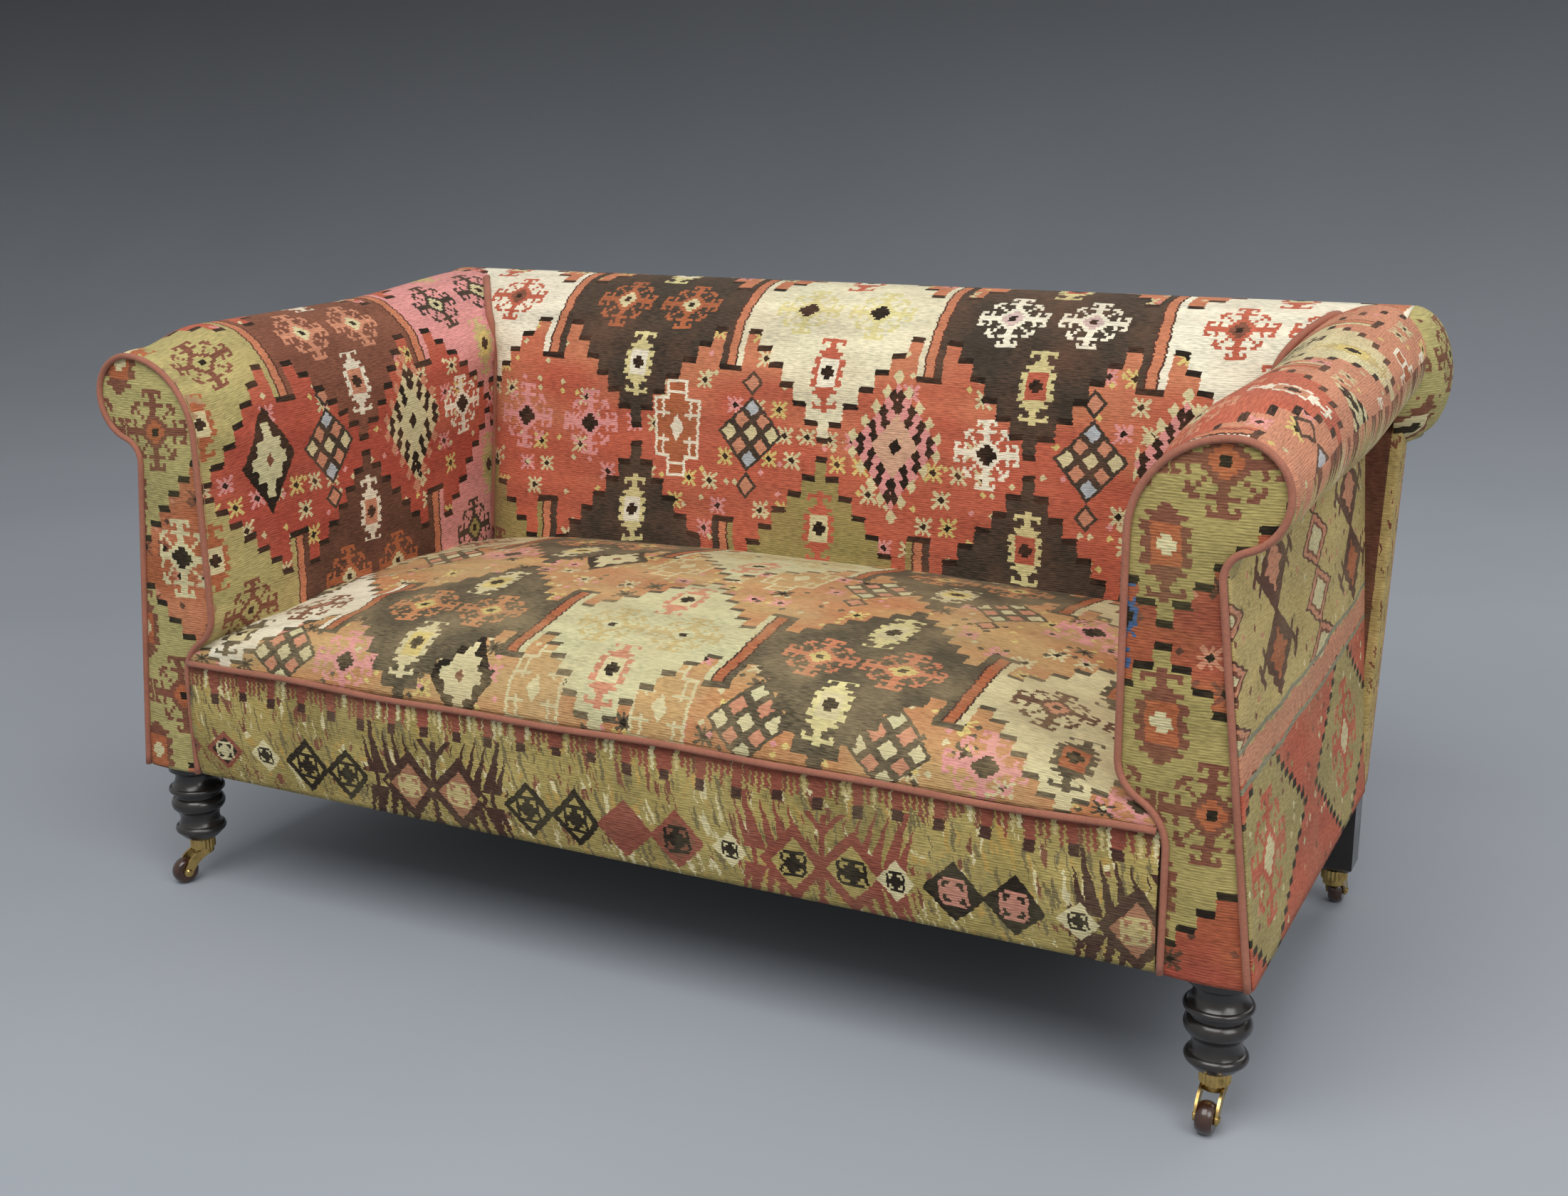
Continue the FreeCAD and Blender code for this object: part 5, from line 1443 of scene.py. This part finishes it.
strip_z = np.linspace(FOOT_Z, STRIP_TOP, STRIP_ROWS)[:, None]
front_d = POST_FRONT_D + POST_LEAN * np.maximum(strip_z - POST_BEND_Z, 0)
rear_d = POST_REAR_D + WALL_LEAN * (strip_z - FOOT_Z)
along = np.linspace(0, 1, STRIP_SIDE)
on_front = np.zeros(STRIP_SIDE - 1)
wrap = np.concatenate([POST_IN + (POST_OUT - POST_IN) * along[:-1], np.full(STRIP_SIDE, POST_OUT)])
bow = np.concatenate([on_front, STRIP_GIVE * np.sin(math.pi * along)])
strip_d = front_d + (rear_d - front_d) * np.concatenate([on_front, along])
strip = grid(wrap + bow, strip_d, strip_z).reshape(-1, 3)
strip_cloth = flat(wrap + strip_d, strip_z).reshape(-1, 2)
right_quads = woven_quads(STRIP_ROWS, len(wrap))
left_quads = woven_quads(STRIP_ROWS, len(wrap), flip=True) + len(strip)
strips = place("post_strips", np.concatenate([strip, strip * (-1, 1, 1)]),
               np.concatenate([right_quads, left_quads]).tolist(), np.tile(strip_cloth, (2, 1)))
thicken(strips)
sew(strips, tan_weave, "kilim", "back_side_covers")

# %% [markdown]
# ## Piping
#
# The seams are covered by a cord sewn into terracotta cotton: round both facings, along the front
# edge of the seat, and up the two inside corners. A bevelled curve would do, but a tube of threads made
# along the same outline keeps its length as a UV, so the twill can run round the cord.

# %% Terracotta cotton
TWILL = 0.0024
COTTON = {"Specular IOR Level": 0.25, "Sheen Weight": 0.10, "Sheen Roughness": 0.5}


def terracotta(name):
    made, shader, yarn = new_finish(name, COTTON)
    x, y = cloth_place(yarn)
    twill = ((x + y * 0.8) * (2 * math.pi / TWILL)).wave()
    dirt, fine = noise(on_piece(yarn), 21.0, 4.0), noise(on_piece(yarn), 260.0, 2.0)
    colour = dye((0.20, 0.070, 0.042, 1), (0.47, 0.185, 0.120, 1), dirt * 0.7 + fine * 0.5 - 0.08)
    feed(shader, {"Base Color": colour, "Roughness": 0.72 + dirt * 0.2,
                  "Normal": bump(twill * 0.4 + fine, 0.35, 0.0008)})
    print(name, "is woven with", len(made.node_tree.nodes), "nodes")
    return made


cotton = terracotta("terracotta_cotton")

# %% [markdown]
# ## Cords along a path
#
# A cord is a ring of threads carried along a path and closed at both ends. Each ring is turned as
# little as possible from the one before, so that the twill doesn't spin where the path bends.

# %% A tube of threads
def tubes(name, paths, radius, sides=10):
    """Round cords along paths of points, in one piece, with length and girth as cloth positions."""
    spots, faces, cloth = [], [], []
    for path in paths:
        path = np.array(path, float)
        along = np.gradient(path, axis=0)
        along /= np.linalg.norm(along, axis=1)[:, None]
        out = np.cross(along[0], (0.0, 0.3, 1.0))
        first = len(spots)
        for spot, way, length in zip(path, along, girth(path)):
            out = out - way * (out @ way)
            out /= np.linalg.norm(out)
            third = np.cross(way, out)
            for turn in 2 * math.pi * np.arange(sides) / sides:
                spots.append(spot + radius * (math.cos(turn) * out + math.sin(turn) * third))
                cloth.append((length, radius * turn))
        for ring in range(first, len(spots) - sides, sides):
            for k in range(sides):
                a, b = ring + k, ring + (k + 1) % sides
                faces.append((a, b, b + sides, a + sides))
        faces.append(tuple(range(first + sides - 1, first - 1, -1)))
        faces.append(tuple(range(len(spots) - sides, len(spots))))
    return place(name, spots, faces, np.array(cloth))


print("a cord is a tube of threads")

# %% [markdown]
# ## Where the cords run
#
# The cords of the facings follow the outline of the scroll, a few millimetres in, and the seat's cord
# lies along its front edge. The outline could be traced by hand, but runs and arcs from the facing's
# own measures always fit it. The seat's cord wanders a little, as a hand-sewn seam does.

# %% Cords round the facings and along the seat
PIPE_R, PIPE_IN, PIPE_D = 0.0040, 0.005, -0.0035
CORD_HALF, CORD_D, CORD_Z = 0.651, -0.0085, 0.3355


def facing_outline(inset):
    """The facing's outline from its inner foot, over the scroll, to its outer foot."""
    crown_r = LOBE_X - ARM_IN
    step_top = STEP_Z + 2 * STEP_RISE
    neck_x, neck_z = arc(NECK, NECK_R + inset, NECK_TO, NECK_TO, 1)[0]
    return np.concatenate([
        run((FOOT_IN + inset, FOOT_Z), (FOOT_IN + inset, STEP_Z), 14),
        arc((FOOT_IN - STEP_R, STEP_Z), STEP_R + inset, 0, 60, 9)[1:],
        arc((FOOT_IN, step_top), STEP_R - inset, 240, 180, 9)[1:],
        run((ARM_IN + inset, step_top), (ARM_IN + inset, FACING_TOP - crown_r), 22)[1:],
        arc((LOBE_X, FACING_TOP - crown_r), crown_r - inset, 180, 90, 24)[1:],
        arc((LOBE_X, LOBE_Z), LOBE_R - inset, 90, SCROLL_END, 26)[1:],
        arc(NECK, NECK_R + inset, NECK_FROM, NECK_TO, 10)[1:],
        run((neck_x, neck_z), (neck_x + OUTER_LEAN * (neck_z - FOOT_Z), FOOT_Z), 34)[1:]])


outline = facing_outline(PIPE_IN)
for hand, mirror in HANDS:
    path = grid(mirror * outline[:, 0], PIPE_D, outline[:, 1])
    sew(tubes(hand + "_facing_cord", [path], PIPE_R), cotton, "piping", hand + "_facing_piping")
cord_x = np.linspace(-CORD_HALF, CORD_HALF, 90)
wander = 0.0016 * np.sin(cord_x * 9.0 + 0.6) + 0.0010 * np.sin(cord_x * 23.0)
path = grid(cord_x, CORD_D, CORD_Z + wander)
sew(tubes("seat_cord", [path], PIPE_R), cotton, "piping", "seat_front_piping")

# %% [markdown]
# ## Welts in the corners
#
# Where an arm meets the back, a thicker welt hides the seam. It lies in the cover, so its way is read
# from the rows of the finished back: up the corner first, then outwards as the arm rounds away.

# %% Corner welts
WELT_R, WELT_X, WELT_FOOT, WELT_TOP = 0.0055, 0.602, 0.385, 0.772


def corner_route(mirror):
    """Where arm and back meet: up the corner, then outwards over the arm's crown."""
    points = np.array([spot.co for spot in back.data.vertices]).reshape(back_grid.shape)
    crown_r = LOBE_X - ARM_IN + SWELL
    crown_z = LOBE_Z + ROLL_LIFT + LOBE_R + SWELL + ARM_RISE - crown_r
    route = []
    for row in points[np.flatnonzero(front_rows)]:
        z = np.interp(mirror * WELT_X, row[:, 0], row[:, 2])
        if WELT_FOOT < z < WELT_TOP:
            arm_x = LOBE_X - math.sqrt(crown_r ** 2 - max(z - crown_z, 0.0) ** 2)
            x = mirror * max(WELT_X, arm_x)
            route.append((x, np.interp(x, row[:, 0], row[:, 1]) - WELT_R * 0.7, z + WELT_R * 0.3))
    return route


welts = [corner_route(mirror) for _, mirror in HANDS]
sew(tubes("corner_cords", welts, WELT_R), cotton, "piping", "corner_welts")

# %% [markdown]
# ## Wood, brass and glaze
#
# The legs are turned and stained black, with a soft polish that has rubbed thin. The casters are cast
# brass with a dark brown glazed wheel. These pieces keep their solids from the frame, so they only
# need finishes: object coordinates stretched along the grain, and noise for wear and tarnish.

# %% Wood and metal
def timber(name, dark, light, grain, rough, constants):
    """Wood with its grain along one axis of the piece."""
    made, shader, yarn = new_finish(name, constants)
    spot = on_piece(yarn)
    fibre = noise(yarn.node("ShaderNodeMapping", {}, {"Vector": spot, "Scale": grain}), 1.0, 5.0)
    patch = noise(spot, 24.0, 3.0)
    feed(shader, {"Base Color": dye(dark, light, fibre * 0.75 + (patch - 0.5) * 0.6),
                  "Roughness": rough + (patch - 0.5) * 0.35,
                  "Normal": bump(fibre + patch * 0.5, 0.25, 0.0006)})
    return made


def metal(name, bright, dull, rough, tarnish):
    """Metal that has gone dull in patches."""
    made, shader, yarn = new_finish(name, {"Metallic": 1.0})
    stain, brush = noise(on_piece(yarn), 70.0, 5.0), noise(on_piece(yarn), 420.0, 2.0)
    mask = ((stain - 0.5 + tarnish) * 3.2).within()
    feed(shader, {"Base Color": dye(bright, dull, mask), "Roughness": rough + mask * 0.28,
                  "Normal": bump(stain + brush * 0.4, 0.15, 0.0004)})
    return made


black_polish = timber("ebonised_wood", (0.007, 0.006, 0.006, 1), (0.034, 0.028, 0.024, 1), (70, 70, 9),
                      0.28, {"Specular IOR Level": 0.5, "Coat Weight": 0.4, "Coat Roughness": 0.2})
beech = timber("beech", (0.30, 0.17, 0.085, 1), (0.52, 0.34, 0.19, 1), (9, 60, 60), 0.62,
               {"Specular IOR Level": 0.3})
brass = metal("brass", (0.62, 0.43, 0.15, 1), (0.17, 0.10, 0.035, 1), 0.26, 0.02)
steel = metal("spring_steel", (0.30, 0.29, 0.28, 1), (0.10, 0.055, 0.035, 1), 0.38, 0.05)
print("finished:", ", ".join(made.name for made in (black_polish, beech, brass, steel)))

# %% [markdown]
# ## Glaze and coarse cloth
#
# The wheels are dipped in brown glaze, which runs thick and thin. Webbing, canvas and bottom cloth are
# the same open weave in three sizes: a woven image could be tiled over them, but two crossing waves
# follow the pieces without a seam.

# %% Glaze and coarse cloth
def glaze(name):
    made, shader, yarn = new_finish(name, {"Coat Weight": 0.6, "Coat Roughness": 0.08})
    flow = noise(on_piece(yarn), 55.0, 4.0)
    colour = dye((0.012, 0.007, 0.005, 1), (0.075, 0.026, 0.012, 1), flow)
    feed(shader, {"Base Color": colour, "Roughness": 0.16 + flow * 0.22})
    return made


def coarse_cloth(name, dark, light, pitch):
    """Plain open weave drawn from two crossing sets of threads."""
    made, shader, yarn = new_finish(name, {"Specular IOR Level": 0.15})
    spot = on_piece(yarn)
    x = yarn.node("ShaderNodeSeparateXYZ", {}, {0: spot})
    y, z = x.also(1), x.also(2)
    warp, weft = [((way + z * 0.7) * (2 * math.pi / pitch)).wave() for way in (x, y)]
    slub = noise(spot, 60.0, 4.0)
    level = warp * weft * 0.3 + slub
    feed(shader, {"Base Color": dye(dark, light, level), "Roughness": 0.85 + slub * 0.1,
                  "Normal": bump(level, 0.4, 0.0008)})
    return made


brown_glaze = glaze("brown_glaze")
jute = coarse_cloth("jute_webbing", (0.22, 0.14, 0.07, 1), (0.45, 0.32, 0.17, 1), 0.006)
hessian = coarse_cloth("hessian", (0.25, 0.17, 0.085, 1), (0.48, 0.36, 0.20, 1), 0.004)
black_cloth = coarse_cloth("black_bottom_cloth", (0.012, 0.011, 0.011, 1), (0.050, 0.046, 0.042, 1), 0.003)
print("finished:", ", ".join(made.name for made in (brown_glaze, jute, hessian, black_cloth)))

# %% [markdown]
# ## Finishes onto the frame
#
# Every piece of the frame says what it is made of, so the finishes can be handed out by that word. The
# plain covers that were replaced have words of their own and are passed over.

# %% Finishes onto the frame
finish_of = {"beech": beech, "ebonised_wood": black_polish, "brass": brass, "brown_glaze": brown_glaze,
             "spring_steel": steel, "webbing": jute, "hessian": hessian, "bottom_cloth": black_cloth}
finished = 0
for part in frame["record"]["subparts"]:
    piece = frame["nodes"][part["node"]]
    if part["material_slot"] in finish_of:
        piece.data.materials.clear()
        piece.data.materials.append(finish_of[part["material_slot"]])
        finished += 1
print(finished, "pieces of the frame finished")
